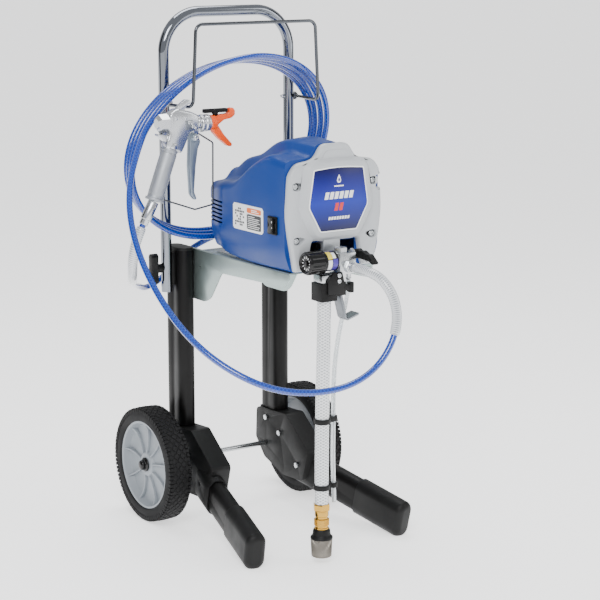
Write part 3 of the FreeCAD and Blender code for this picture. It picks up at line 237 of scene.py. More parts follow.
def sweep(name, points, radius, sides):
    """A closed tube of the given radius, or one radius for each point, with a UV map in metres and turns."""
    count = len(points)
    radii = radius if isinstance(radius, (list, tuple)) else [radius] * count
    way = (points[1] - points[0]).normalized()
    side = way.orthogonal().normalized()
    bm = bmesh.new()
    uv = bm.loops.layers.uv.new("UVMap")
    rings = []
    gone = [0]
    for i, point in enumerate(points):
        ahead = points[min(i + 1, count - 1)] - points[max(i - 1, 0)]
        turn = way.rotation_difference(ahead.normalized())
        side.rotate(turn)
        way = ahead.normalized()
        across = way.cross(side)
        spots = [(side * math.cos(angle) + across * math.sin(angle)) * radii[i] for angle in circle(sides)]
        rings.append([bm.verts.new(point + spot) for spot in spots])
        if i:
            gone.append(gone[-1] + (point - points[i - 1]).length)
    for i in range(count - 1):
        for k in range(sides):
            other = (k + 1) % sides
            face = bm.faces.new((rings[i][k], rings[i][other], rings[i + 1][other], rings[i + 1][k]))
            corners = ((i, k), (i, k + 1), (i + 1, k + 1), (i + 1, k))
            for loop, (row, column) in zip(face.loops, corners):
                loop[uv].uv = (gone[row], column / sides)
    bm.faces.new(rings[0][::-1])
    bm.faces.new(rings[-1])
    return from_bm(name, bm, 40)


def lathe(name, profile, centre, axis, sides=64):
    """Turn a profile of (distance along the axis, radius) in millimetres round an axis through a centre."""
    bm = bmesh.new()
    turn = UP.rotation_difference(axis)
    rings = []
    for along, radius in profile:
        if radius == 0:
            rings.append([bm.verts.new(centre + turn @ Vector((0, 0, along * MM)))])
            continue
        spots = [Vector((radius * math.cos(angle), radius * math.sin(angle), along)) * MM
                 for angle in circle(sides)]
        rings.append([bm.verts.new(centre + turn @ spot) for spot in spots])
    closed = profile[0] == profile[-1] and profile[0][1] != 0
    if closed:
        for vertex in rings[-1]:
            bm.verts.remove(vertex)
        rings[-1] = rings[0]
    for one, two in zip(rings, rings[1:]):
        for k in range(sides):
            other = (k + 1) % sides
            if len(one) == 1:
                bm.faces.new((one[0], two[k], two[other]))
            elif len(two) == 1:
                bm.faces.new((one[k], one[other], two[0]))
            else:
                bm.faces.new((one[k], one[other], two[other], two[k]))
    if not closed:
        for ring in (rings[0], rings[-1]):
            if len(ring) > 1:
                bm.faces.new(ring)
    return from_bm(name, bm)


def arc(before, corner, after, radius, steps):
    """The points of an arc that rounds a corner and stops short of halfway to its neighbours."""
    corner = Vector(corner)
    one = Vector(before) - corner
    two = Vector(after) - corner
    reach = min(radius, one.length * 0.45, two.length * 0.45)
    return curve_past(corner + one.normalized() * reach, corner, corner + two.normalized() * reach, steps)


def curve_past(start, corner, end, steps):
    """Points on the curve from a start to an end that a corner between them pulls out."""
    shares = [i / steps for i in range(steps + 1)]
    return [tuple(start.lerp(corner, t).lerp(corner.lerp(end, t), t)) for t in shares]


def round_profile(points, radius, steps=4):
    """A polyline whose inner corners are arcs of about the given radius."""
    path = [tuple(Vector(points[0]))]
    for before, corner, after in zip(points, points[1:], points[2:]):
        path += arc(before, corner, after, radius, steps)
    return path + [tuple(Vector(points[-1]))]


def round_outline(points, radius, steps=4):
    """A closed outline whose corners are arcs; radius is one value, or one for each corner."""
    radii = radius if isinstance(radius, (list, tuple)) else [radius] * len(points)
    path = []
    for i, corner in enumerate(points):
        path += arc(points[i - 1], corner, points[(i + 1) % len(points)], radii[i], steps)
    return path


def inset(outline, depth):
    """An outline moved inwards by a depth; outwards where it is negative."""
    count = len(outline)
    area = sum(outline[i][0] * outline[(i + 1) % count][1] - outline[(i + 1) % count][0] * outline[i][1]
               for i in range(count))
    sign = 1 if area > 0 else -1
    moved = []
    for i in range(count):
        before = (Vector(outline[i]) - Vector(outline[i - 1])).normalized()
        after = (Vector(outline[(i + 1) % count]) - Vector(outline[i])).normalized()
        square = Vector((-before.y, before.x)) * sign
        normal = Vector((-(before.y + after.y), before.x + after.x)) * sign
        if normal.length < 1e-6:
            normal = square.copy()
        normal.normalize()
        moved.append(tuple(Vector(outline[i]) + normal * depth / max(0.5, normal.dot(square))))
    return moved


def plate(name, outline, near, far, rounding, plane="xz", segments=2):
    """A flat piece with an outline in one plane, between two distances along the third axis."""
    bm = bmesh.new()

    def spot(a, b, c):
        return at(*{"xz": (a, c, b), "yz": (c, a, b), "xy": (a, b, c)}[plane])

    loops = [[bm.verts.new(spot(a, b, c)) for a, b in outline] for c in (near, far)]
    bridge(bm, *loops)
    for loop in loops:
        bm.faces.new(loop)
    obj = from_bm(name, bm)
    if rounding:
        bevel(obj, rounding, segments, 40)
    return obj


# --- finishes ---

def tone(code):
    """A colour from its sRGB hex code, as linear red, green, blue and one."""
    parts = [int(code[i:i + 2], 16) / 255 for i in (0, 2, 4)]
    return (*[p / 12.92 if p <= 0.04045 else ((p + 0.055) / 1.055) ** 2.4 for p in parts], 1)


def add(tree, kind, values=None, **settings):
    """Add a node with its settings; a value that is a socket is linked, any other is set."""
    node = tree.nodes.new(kind)
    for name, setting in settings.items():
        setattr(node, name, setting)
    for name, value in (values or {}).items():
        if isinstance(value, bpy.types.NodeSocket):
            tree.links.new(value, node.inputs[name])
        else:
            node.inputs[name].default_value = value
    return node


def per_metre(millimetres):
    """The scale of a pattern whose repeat is a size in millimetres."""
    return 1000 / millimetres


FINISHES = {}
# The Mix node's colour sockets, by number because other kinds of value share their names.
MIX_A, MIX_B, MIX_RESULT = 6, 7, 2


def finish(name, code, roughness, metallic=0.0, **shader):
    """A new material with its shader's plain values set; returns its tree and its shader."""
    material = bpy.data.materials.new(name)
    material.use_nodes = True
    tree = material.node_tree
    bsdf = tree.nodes["Principled BSDF"]
    bsdf.inputs["Base Color"].default_value = tone(code)
    bsdf.inputs["Roughness"].default_value = roughness
    bsdf.inputs["Metallic"].default_value = metallic
    for label, value in shader.items():
        bsdf.inputs[label.replace("_", " ")].default_value = value
    FINISHES[name] = material
    return tree, bsdf


def grained(name, code, roughness, metallic, size, height, spread, tint, **shader):
    """A finish with surface grain, its size and height in millimetres, and with uneven gloss and tint.

    The tint varies in clouds forty grains wide, by a share of the colour each way.
    """
    tree, bsdf = finish(name, code, roughness, metallic, **shader)
    place = add(tree, "ShaderNodeTexCoord").outputs["Object"]
    fine = add(tree, "ShaderNodeTexNoise", {"Vector": place, "Scale": per_metre(size), "Detail": 3.0})
    coarse = add(tree, "ShaderNodeTexNoise", {"Vector": place, "Scale": per_metre(size * 40), "Detail": 4.0})
    rough = bsdf.inputs["Roughness"].default_value
    gloss = add(tree, "ShaderNodeMapRange", {"Value": coarse.outputs["Fac"], "From Min": 0.3, "From Max": 0.7,
                                             "To Min": rough - spread, "To Max": rough + spread})
    tree.links.new(gloss.outputs["Result"], bsdf.inputs["Roughness"])
    colour = bsdf.inputs["Base Color"].default_value[:]
    shaded = [c * (1 - tint) for c in colour[:3]] + [1]
    lit = [min(1, c * (1 + tint)) for c in colour[:3]] + [1]
    mixed = add(tree, "ShaderNodeMix", {"Factor": coarse.outputs["Fac"], MIX_A: shaded, MIX_B: lit},
                data_type="RGBA")
    tree.links.new(mixed.outputs[MIX_RESULT], bsdf.inputs["Base Color"])
    bump = add(tree, "ShaderNodeBump", {"Height": fine.outputs["Fac"], "Distance": height * MM, "Strength": 1.0})
    tree.links.new(bump.outputs["Normal"], bsdf.inputs["Normal"])


def frame_finishes():
    # Powder-coated steel tube: an even black with a slight orange peel.
    grained("Powder coated steel", "060505", 0.4, 0.0, 1.4, 0.05, 0.06, 0.15, Specular_IOR_Level=0.22)
    # Glass-filled nylon, moulded: a black with a fine spark-eroded grain.
    grained("Moulded nylon", "070707", 0.5, 0.0, 0.9, 0.05, 0.07, 0.2, Specular_IOR_Level=0.28)
    # Zinc-plated steel sheet with a clear greenish passivation, satin and slightly cloudy.
    grained("Passivated zinc plate", "a9b8b5", 0.34, 0.85, 0.8, 0.012, 0.08, 0.16)
    # Bright zinc on bolts and nuts: a clean silver shine, slightly clouded.
    grained("Bright zinc plate", "c9ccce", 0.25, 1.0, 0.5, 0.01, 0.08, 0.1)
    # Chrome-plated steel tube: a mirror with faint polishing haze, its colour set darker than bright chrome as a
    # painted dark reflection.
    grained("Chrome plate", "7f838a", 0.06, 1.0, 3.0, 0.004, 0.03, 0.05)
    # Bent spring wire with thin chrome, hazier than the tube, and darker still as a painted dark reflection.
    grained("Chromed wire", "5a5d61", 0.16, 1.0, 1.5, 0.008, 0.05, 0.08)
    # Rolled steel strip, tumbled after stamping: grey with a worn, uneven shine.
    grained("Tumbled steel strip", "8b8f94", 0.42, 0.9, 0.6, 0.02, 0.1, 0.15)


def wheel_finishes():
    # Solid rubber tyre: a dull black, dusty in the hollows.
    grained("Tyre rubber", "141415", 0.72, 0.0, 0.8, 0.12, 0.08, 0.35, Specular_IOR_Level=0.3)
    # Polypropylene rim, moulded grey with a soft sheen.
    grained("Grey polypropylene", "8f959b", 0.42, 0.0, 0.9, 0.03, 0.06, 0.06)


def unit_finishes():
    # ABS housing, moulded in a deep blue with a fine texture and a soft gloss.
    grained("Blue ABS", "00337e", 0.33, 0.0, 0.8, 0.025, 0.04, 0.07, Specular_IOR_Level=0.32)
    # ABS cover, moulded in light grey: satin, and even all over.
    grained("Light grey ABS", "b4b7ba", 0.4, 0.0, 0.8, 0.03, 0.05, 0.04)
    # Phenolic, pressed in a polished mould: a deep black gloss.
    grained("Gloss black phenolic", "060606", 0.14, 0.0, 1.2, 0.01, 0.04, 0.1, Specular_IOR_Level=0.4)
    # Printed vinyl in plain inks, for labels, marks and the colour band: smooth, with an even gloss.
    inks = (("White vinyl", "f1f2f2"), ("Black ink vinyl", "26282b"), ("Orange ink vinyl", "e06a1b"),
            ("Red ink vinyl", "cf2f2a"), ("Yellow ink vinyl", "e9d34b"), ("Violet ink vinyl", "4b3b9c"))
    for name, code in inks:
        grained(name, code, 0.3, 0.0, 0.7, 0.005, 0.04, 0.04)
    # Printed label vinyl: navy at its top and bottom and royal blue across its middle, under a gloss film.
    tree, bsdf = finish("Printed blue vinyl", "1a2c98", 0.28, Specular_IOR_Level=0.35)
    place = add(tree, "ShaderNodeTexCoord").outputs["Object"]
    height = add(tree, "ShaderNodeSeparateXYZ", {"Vector": place}).outputs["Z"]
    low, high = 575 * MM, 684 * MM
    share = add(tree, "ShaderNodeMapRange", {"Value": height, "From Min": low, "From Max": high})
    ramp = add(tree, "ShaderNodeValToRGB", {"Fac": share.outputs["Result"]})
    ramp.color_ramp.elements[0].color = tone("060838")
    ramp.color_ramp.elements[1].color = tone("0b0838")
    ramp.color_ramp.elements.new(0.45).color = tone("10289a")
    ramp.color_ramp.elements.new(0.68).color = tone("101a80")
    tree.links.new(ramp.outputs["Color"], bsdf.inputs["Base Color"])


def braid(tree, bsdf, pitch, turns, dark, light, share, height):
    """A diamond braid on a tube's own UV map: pitch in millimetres along it, and strands round it."""
    uv = add(tree, "ShaderNodeUVMap", uv_map="UVMap").outputs["UV"]
    parts = add(tree, "ShaderNodeSeparateXYZ", {"Vector": uv})
    along = add(tree, "ShaderNodeMath", {0: parts.outputs["X"], 1: per_metre(pitch)}, operation="MULTIPLY")
    waves = []
    for way in (1, -1):
        strands = float(way * turns)
        round_it = add(tree, "ShaderNodeMath", {0: parts.outputs["Y"], 1: strands}, operation="MULTIPLY")
        total = add(tree, "ShaderNodeMath", {0: along.outputs[0], 1: round_it.outputs[0]}, operation="ADD")
        wave = add(tree, "ShaderNodeMath", {0: total.outputs[0], 1: 1.0}, operation="PINGPONG")
        waves.append(wave.outputs[0])
    strand = add(tree, "ShaderNodeMath", {0: waves[0], 1: waves[1]}, operation="MINIMUM")
    edge = add(tree, "ShaderNodeMapRange", {"Value": strand.outputs[0], "From Min": share,
                                            "From Max": share + 0.15, "To Min": 1.0, "To Max": 0.0})
    mixed = add(tree, "ShaderNodeMix", {"Factor": edge.outputs["Result"], MIX_A: tone(dark), MIX_B: tone(light)},
                data_type="RGBA")
    tree.links.new(mixed.outputs[MIX_RESULT], bsdf.inputs["Base Color"])
    bump = add(tree, "ShaderNodeBump", {"Height": edge.outputs["Result"], "Distance": height * MM})
    tree.links.new(bump.outputs["Normal"], bsdf.inputs["Normal"])


def hose_finishes():
    # Nylon paint hose, extruded clear blue over a polyester braid that just shows.
    tree, bsdf = finish("Blue nylon hose", "0640a8", 0.14, Coat_Weight=1.0, Coat_Roughness=0.05)
    braid(tree, bsdf, 3.2, 8, "022a86", "0648b0", 0.16, 0.02)
    # Clear PVC over a white polyester braid: pale diamonds under a wet gloss.
    tree, bsdf = finish("Braided clear PVC", "e6eaec", 0.16, Coat_Weight=0.8, Coat_Roughness=0.08)
    braid(tree, bsdf, 2.6, 16, "a9adb0", "eceeef", 0.26, 0.05)
    # Smooth clear sleeve that shows the grey braid of the hose inside it.
    tree, bsdf = finish("Smoky clear PVC", "b8bcc0", 0.1, Coat_Weight=1.0, Coat_Roughness=0.05)
    braid(tree, bsdf, 1.8, 4, "8d9298", "d2d5d8", 0.4, 0.02)
    # Clear vinyl, extruded: nearly colourless, and light passes through it.
    grained("Clear vinyl", "eef3f5", 0.12, 0.0, 2.0, 0.01, 0.03, 0.02, Transmission_Weight=0.6, IOR=1.4)
    # Brass, turned and knurled: a warm yellow shine.
    grained("Turned brass", "c79b45", 0.24, 1.0, 0.4, 0.02, 0.08, 0.15)
    # Stainless wire, woven: grey and dull, as each wire catches little light.
    grained("Woven stainless wire", "8f8a82", 0.36, 1.0, 0.3, 0.01, 0.1, 0.2)


def gun_finishes():
    # Die-cast aluminium, vibratory polished: bright, with a faint ripple.
    grained("Die cast aluminium", "d2d4d7", 0.24, 0.95, 1.6, 0.05, 0.08, 0.08)
    # Bead-blasted aluminium: an even matt grey.
    grained("Blasted aluminium", "a9adb2", 0.5, 0.7, 0.5, 0.05, 0.06, 0.1)
    # Aluminium, cast and lacquered: a satin blue-grey.
    grained("Grey cast trigger", "8d99a5", 0.34, 0.75, 1.2, 0.04, 0.08, 0.1)
    # Zinc, sand cast and left rough: a pitted pale grey.
    grained("Rough cast zinc", "b9bcbf", 0.45, 0.8, 1.8, 0.35, 0.1, 0.2)
    # Acetal, moulded in a strong orange with a waxy sheen.
    grained("Orange acetal", "ee5200", 0.33, 0.0, 0.8, 0.02, 0.05, 0.06,
            Subsurface_Weight=0.1, Subsurface_Scale=0.003)


def make_finishes():
    for maker in (frame_finishes, wheel_finishes, unit_finishes, hose_finishes, gun_finishes):
        maker()
    dressing = bpy.context.scene.sprayer_dressing
    for name, colour in (("Blue ABS", dressing.shell_blue), ("Light grey ABS", dressing.cover_grey)):
        recolour(FINISHES[name], colour)


def recolour(material, colour):
    """Move a grained finish to a chosen colour, keeping the spread of its tint."""
    mix = [n for n in material.node_tree.nodes if n.bl_idname == "ShaderNodeMix"][0]
    for socket, share in ((mix.inputs[MIX_A], 0.94), (mix.inputs[MIX_B], 1.06)):
        socket.default_value = [*[min(1, c * share) for c in colour], 1]


# --- hoses ---

SUCTION_ROUTE = ((-39, -370, 484), (-39, -370, 404), (-41.2, -369.5, 304), (-43, -370, 204), (-43, -370, 106))
DRAIN_ROUTE = ((11, -370, 497), (11, -370, 476), (12, -361, 448), (9, -351, 412), (3, -348, 372),
               (-5, -352, 330), (-12, -360, 285), (-17, -367, 238), (-20, -370, 190), (-19, -371, 145),
               (-17, -370, 104))
LEAD_ROUTE = ((-1, -405, 519), (-1, -433, 519), (8, -466, 511), (18, -489, 483), (19, -500, 445), (4, -505, 407),
              (-25, -505, 372), (-66, -503, 350), (-116, -500, 342), (-170, -490, 344), (-220, -470, 356),
              (-262, -436, 380), (-292, -388, 412), (-308, -332, 452), (-314, -276, 498), (-312, -222, 548),
              (-300, -172, 602), (-276, -132, 656), (-240, -100, 706))
TAIL_ROUTE = ((-32, -30, 530), (-58, -14, 516), (-73, 16, 496), (-84, 46, 466), (-112, 56, 438),
              (-148, 48, 426), (-178, 26, 438), (-206, -10, 450), (-232, -54, 464), (-252, -92, 486),
              (-264, -115, 517), (-259.4, -122, 552.5), (-246, -122, 576))
# The loose turns: their middle across and up, their lean, where they start and end in degrees, the step
# between their points, and for each turn its half width, half height, and depth at its top and its bottom.
COIL_MIDDLE = (-29, 691)
COIL_LEAN = math.radians(12)
COIL_START, COIL_END = 150, -1138
COIL_STEP = 22.5
COIL_TURNS = ((204.5, 162.5, -92, -65), (202, 158.5, -70.7, -54), (199.5, 154.5, -49.3, -43),
              (197, 150.5, -28, -31))


def coil_route():
    """The hose's loose turns over the rack: each turn is a little smaller and lies further back than the last."""
    points = []
    fill = 1 / math.cos(math.radians(COIL_STEP / 2))
    steps = round((COIL_START - COIL_END) / COIL_STEP)
    for i in range(steps + 1):
        degrees = COIL_START - COIL_STEP * i
        turn = (COIL_START - degrees) / 360
        last = len(COIL_TURNS) - 1
        one = COIL_TURNS[min(last, int(turn))]
        two = COIL_TURNS[min(last, int(turn) + 1)]
        wide, tall, top, low = [a + (b - a) * (turn - int(turn)) for a, b in zip(one, two)]
        angle = math.radians(degrees)
        rise = math.sin(angle + COIL_LEAN)
        share = ((1 + rise) / 2) ** 1.6
        points.append((COIL_MIDDLE[0] + wide * fill * math.cos(angle), low + (top - low) * share,
                       COIL_MIDDLE[1] + tall * fill * rise))
    return tuple(points)


# Outside diameters of the three hoses.
PAINT_HOSE, SUCTION_HOSE, DRAIN_TUBE = 11, 24, 8


def make_paint_hose():
    """The paint hose from the pump round the rack to the gun, and its two clear sleeves."""
    route = [at(*p) for p in LEAD_ROUTE + coil_route() + TAIL_ROUTE]
    points = line_points(route, 10)
    hose = sweep("paint_hose", points, PAINT_HOSE / 2 * MM, 14)
    keep(hose, "root", "hose_blue", "Blue nylon hose", "hose_lead", "hose_coil", "hose_tail")
    total = run_length(points)
    sleeves = []
    gap, lead, tail = 0.001, 0.168, 0.15
    for name, start, end in (("lead_sleeve", gap, lead), ("tail_sleeve", total - tail, total - gap)):
        span = stretch(points, start, end)
        radii = [8.6 * MM if 0 < i < len(span) - 1 else 7.6 * MM for i in range(len(span))]
        sleeves.append(sweep(name, span, radii, 20))
    sleeve = unite("hose_sleeves_piece", sleeves,
                   "root", "hose_clear", "Smoky clear PVC", "hose_sleeves", smooth=40)
    swivel = soften("gun_swivel", "Bright zinc plate", 0.8)


def make_suction_set():
    """The braided suction hose and the clear drain tube beside it, with their clips."""
    points = line_points([at(*p) for p in SUCTION_ROUTE], 24)
    hose = sweep("suction_hose_piece", points, SUCTION_HOSE / 2 * MM, 32)
    keep(hose, "root", "hose_clear", "Braided clear PVC", "suction_hose")
    clips = soften("tube_clips", "Moulded nylon", 0.5)
    make_strainer() + [clips]
    points = line_points([at(*p) for p in DRAIN_ROUTE], 16)
    tube = sweep("drain_tube_piece", points, DRAIN_TUBE / 2 * MM, 20)
    keep(tube, "root", "hose_clear", "Clear vinyl", "drain_tube")


# --- repeats ---

def tree_with(name, inputs):
    """An empty geometry tree with named inputs and one geometry output."""
    tree = bpy.data.node_groups.new(name, "GeometryNodeTree")
    for label, kind in inputs:
        tree.interface.new_socket(label, in_out="INPUT", socket_type="NodeSocket" + kind)
    tree.interface.new_socket("Geometry", in_out="OUTPUT", socket_type="NodeSocketGeometry")
    return tree


def close_tree(tree, source, points, turn):
    """Set a copy of the piece on each point, make the copies real and give them the finish."""
    piece = add(tree, "GeometryNodeObjectInfo", {"Object": source.outputs["Piece"]})
    placed = add(tree, "GeometryNodeInstanceOnPoints", {"Points": points, "Rotation": turn,
                                                        "Instance": piece.outputs["Geometry"]})
    real = add(tree, "GeometryNodeRealizeInstances", {"Geometry": placed.outputs[0]})
    dressed = add(tree, "GeometryNodeSetMaterial", {"Geometry": real.outputs[0],
                                                    "Material": source.outputs["Finish"]})
    add(tree, "NodeGroupOutput", {"Geometry": dressed.outputs[0]})
    return tree


@cache
def ring_tree():
    """Copies of a piece at even angles about an X axis through a middle."""
    tree = tree_with("Ring of copies", (("Piece", "Object"), ("Count", "Int"), ("Middle", "Vector"),
                                        ("Finish", "Material")))
    source = add(tree, "NodeGroupInput")
    points = add(tree, "GeometryNodePoints", {"Count": source.outputs["Count"],
                                              "Position": source.outputs["Middle"]})
    index = add(tree, "GeometryNodeInputIndex")
    share = add(tree, "ShaderNodeMath", {0: index.outputs[0], 1: source.outputs["Count"]}, operation="DIVIDE")
    angle = add(tree, "ShaderNodeMath", {0: share.outputs[0], 1: 2 * math.pi}, operation="MULTIPLY")
    turn = add(tree, "ShaderNodeCombineXYZ", {"X": angle.outputs[0]})
    return close_tree(tree, source, points.outputs[0], turn.outputs[0])


@cache
def row_tree():
    """Copies of a piece along a straight row from a start."""
    tree = tree_with("Row of copies", (("Piece", "Object"), ("Count", "Int"), ("Start", "Vector"),
                                       ("Step", "Vector"), ("Finish", "Material")))
    source = add(tree, "NodeGroupInput")
    line = add(tree, "GeometryNodeMeshLine", {"Count": source.outputs["Count"], "Offset": source.outputs["Step"],
                                              "Start Location": source.outputs["Start"]})
    return close_tree(tree, source, line.outputs[0], (0, 0, 0))


def grow(tree, name, **inputs):
    """Run a geometry tree with its inputs set by their sockets' identifiers, and keep the plain mesh."""
    obj = show(name, bpy.data.meshes.new(name))
    tool = obj.modifiers.new("Copies", "NODES")
    tool.node_group = tree
    inputs["Finish"] = FINISHES[inputs["Finish"]]
    for item in tree.interface.items_tree:
        if item.in_out == "INPUT" and item.name in inputs:
            tool[item.identifier] = inputs[item.name]
    settle(obj)
    bpy.data.objects.remove(inputs["Piece"])
    shade(obj.data, 35)
    return obj


def block(name, low, high, rounding=0.0):
    """A box between two corners in millimetres, from the origin of the copies."""
    bm = bmesh.new()
    bmesh.ops.create_cube(bm, size=1)
    low, high = Vector(low), Vector(high)
    for vertex in bm.verts:
        vertex.co = Vector([a + (b - a) * (c + 0.5) for a, b, c in zip(low, high, vertex.co)]) * MM
    if rounding:
        bmesh.ops.bevel(bm, geom=bm.edges[:], offset=rounding * MM, segments=1, affect="EDGES")
    return from_bm(name, bm)


# --- wheels ---

# Millimetres: from the cart's middle out to a tyre's middle, up to the axle, and from the axle to the tread.
WHEEL_OUT, WHEEL_UP, TREAD_RADIUS = 166.5, 107, 105.5
TREAD_COUNT = 44


def tread_unit():
    """One pitch of the tread: five diamonds across it and a lug at each shoulder, standing on +Z."""
    bm = bmesh.new()
    pitch = 2 * math.pi * TREAD_RADIUS / TREAD_COUNT
    wide, long, taper = 5.6, pitch * 0.44, 0.78

    def solid(low, high):
        ring = [[bm.verts.new(Vector(p) * MM) for p in loop] for loop in (low, high)]
        bridge(bm, *ring)
        bm.faces.new(ring[1])
        bm.faces.new(ring[0])

    def diamond(x, y, foot, top):
        low = [(x, y - long, foot), (x + wide, y, foot), (x, y + long, foot), (x - wide, y, foot)]
        high = [(x + (a - x) * taper, y + (b - y) * taper, top) for a, b, _ in low]
        solid(low, high)

    for x in (-12.4, 0, 12.4):
        diamond(x, 0, 103.6, 106.75 - abs(x) * 0.05)
    for x in (-6.2, 6.2):
        diamond(x, pitch / 2, 103.8, 106.2)
    for side in (-1, 1):
        for y in (0, pitch / 2):
            for inner, outer, foot, top in ((16.2, 20.8, 101.0, 105.6), (19.6, 22.4, 96.5, 103.6)):
                low = [(side * inner, y - 2.7), (side * outer, y - 2.7), (side * outer, y + 2.7),
                       (side * inner, y + 2.7)]
                solid([(a, b * 1.12 - y * 0.12, foot) for a, b in low], [(a * 0.985, b, top) for a, b in low])
    return from_bm("tread_unit", bm)


def rim_rib():
    """One rib of the rim: a thin web from the hub to the lip, lower in its middle, standing on +Z."""
    bm = bmesh.new()
    top = [(13.4, 21), (10.2, 34), (8.6, 50), (10.0, 66), (16.6, 78.2)]
    foot = [(3.0, 78.2), (1.0, 66), (0.0, 50), (1.0, 34), (3.0, 21)]
    sides = [[bm.verts.new(Vector((x, y, z)) * MM) for x, z in top + foot] for y in (-1.5, 1.5)]
    bridge(bm, *sides)
    for side in sides:
        bm.faces.new(side)
    return bevel(from_bm("rim_rib", bm), 0.7)


def make_wheels():
    """Both tyres with their tread, both ribbed rims, and the caps on the axle's ends."""
    centre = Vector((0, 0, 0))
    tyre_profile = round_profile([(-19.3, 81.3), (-21.6, 84), (-22.3, 92), (-20.8, 101), (-15, 104.6), (0, 105.2),
                                  (15, 104.6), (20.8, 101), (22.3, 92), (21.6, 84), (19.3, 81.3)], 3)
    rim_profile = round_profile([(19.4, 81.2), (19.4, 77.6), (16.5, 76.6), (4.5, 73.5), (3.0, 60), (5.0, 36),
                                 (7.5, 24), (13.0, 21.5), (13.9, 20), (13.9, 5.1)], 2.4, 3)
    inner_profile = [(-42.2, 5.1), (-42.2, 16.6), (-4, 17.4), (-2.5, 30), (-1.0, 72), (-16.5, 76.6), (-19.4, 77.6),
                     (-19.4, 81.2)]
    rings = ring_tree()
    caps = []
    for side, word in ((-1, "left"), (1, "right")):
        body = BODY_OF[word + "_tyre"]
        half_turn = Matrix.Rotation(math.pi * (side < 0), 4, "Z")
        place = Matrix.Translation(at(side * WHEEL_OUT, 0, WHEEL_UP)) @ half_turn
        tyre = lathe("carcass", tyre_profile + [tyre_profile[0]], centre, ACROSS, 88)
        tread = grow(rings, "tread", Piece=tread_unit(), Count=TREAD_COUNT, Finish="Tyre rubber")
        tyre = join(word + "_tyre_piece", [tyre, tread], 30)
        tyre.data.transform(place)
        keep(tyre, body, "tyre", "Tyre rubber", word + "_tyre")
        dish = lathe("dish", rim_profile + inner_profile + [rim_profile[0]], centre, ACROSS, 96)
        ribs = grow(rings, "ribs", Piece=rim_rib(), Count=bpy.context.scene.sprayer_dressing.rim_ribs,
                    Finish="Grey polypropylene")
        rim = join(word + "_rim_piece", [dish, ribs])
        rim.data.transform(place)
        keep(rim, body, "rim_grey", "Grey polypropylene", word + "_rim")
        dome = round_profile([(14.4, 0), (14.4, 13.4), (17.5, 13.0), (18.4, 9.6), (25.0, 8.6), (27.0, 5),
                              (27.4, 0)], 2)
        cap = lathe("cap", dome, centre, ACROSS, 40)
        cap.data.transform(place)
        caps.append(cap)
    unite("axle_caps_piece", caps, "root", "moulded_black", "Gloss black phenolic", "axle_caps")


# --- pump unit: housing, cover and labels ---

# Each of the housing's stations: depth, half width, underside, side top, middle top, half width of the crown.
STATIONS = ((-76, 66, 529, 626, 648, 40), (-92, 90, 519, 636, 660, 42), (-132, 97, 513, 640, 680, 42),
            (-178, 99, 509, 648, 693, 42), (-232, 100, 507.8, 680, 719, 42), (-284, 100, 507.8, 702, 727, 40),
            (-324, 98, 507.8, 699, 725, 36), (-338, 97.5, 507.4, 697, 724, 34))


def station(y):
    """The housing's measures at a depth: a smooth line through its stations, rounded at its rear corner."""
    last = len(STATIONS) - 1
    for i in range(last):
        one, two = STATIONS[i], STATIONS[i + 1]
        if not two[0] <= y <= one[0]:
            continue
        span = two[0] - one[0]
        t = (y - one[0]) / span
        if i == 0:
            t = math.sin(t * math.pi / 2)
            return [a + (b - a) * t for a, b in zip(one[1:], two[1:])]
        before, after = STATIONS[i - 1], STATIONS[min(i + 2, last)]
        values = []
        for k in range(1, 6):
            slope_one = (two[k] - before[k]) / (two[0] - before[0]) * span if i > 1 else 0
            slope_two = (after[k] - one[k]) / (after[0] - one[0]) * span
            values.append((2 * t ** 3 - 3 * t ** 2 + 1) * one[k] + (t ** 3 - 2 * t ** 2 + t) * slope_one
                          + (3 * t ** 2 - 2 * t ** 3) * two[k] + (t ** 3 - t ** 2) * slope_two)
        return values
    return STATIONS[-1][1:]


def shell_line(y):
    """Half of the housing's outline at a depth, from the middle of its underside to the middle of its top."""
    half, low, side_top, top, crown = station(y)
    corners = [(0, low, 0), (half - 12, low, 9), (half, low + 34, 14), (half, side_top, 15),
               (crown + 15, side_top + 0.1 * (top - side_top), 9), (crown, top - 2.5, 8), (0, top + 1, 0)]
    most, steps = 0.46, 6
    path = [(0, low)]
    for before, corner, after in zip(corners, corners[1:], corners[2:]):
        spot = Vector(corner[:2])
        one = Vector(before[:2]) - spot
        two = Vector(after[:2]) - spot
        start = spot + one.normalized() * min(corner[2], one.length * most)
        end = spot + two.normalized() * min(corner[2], two.length * most)
        path += curve_past(start, spot, end, steps)
    return path + [(0, top + 1)]


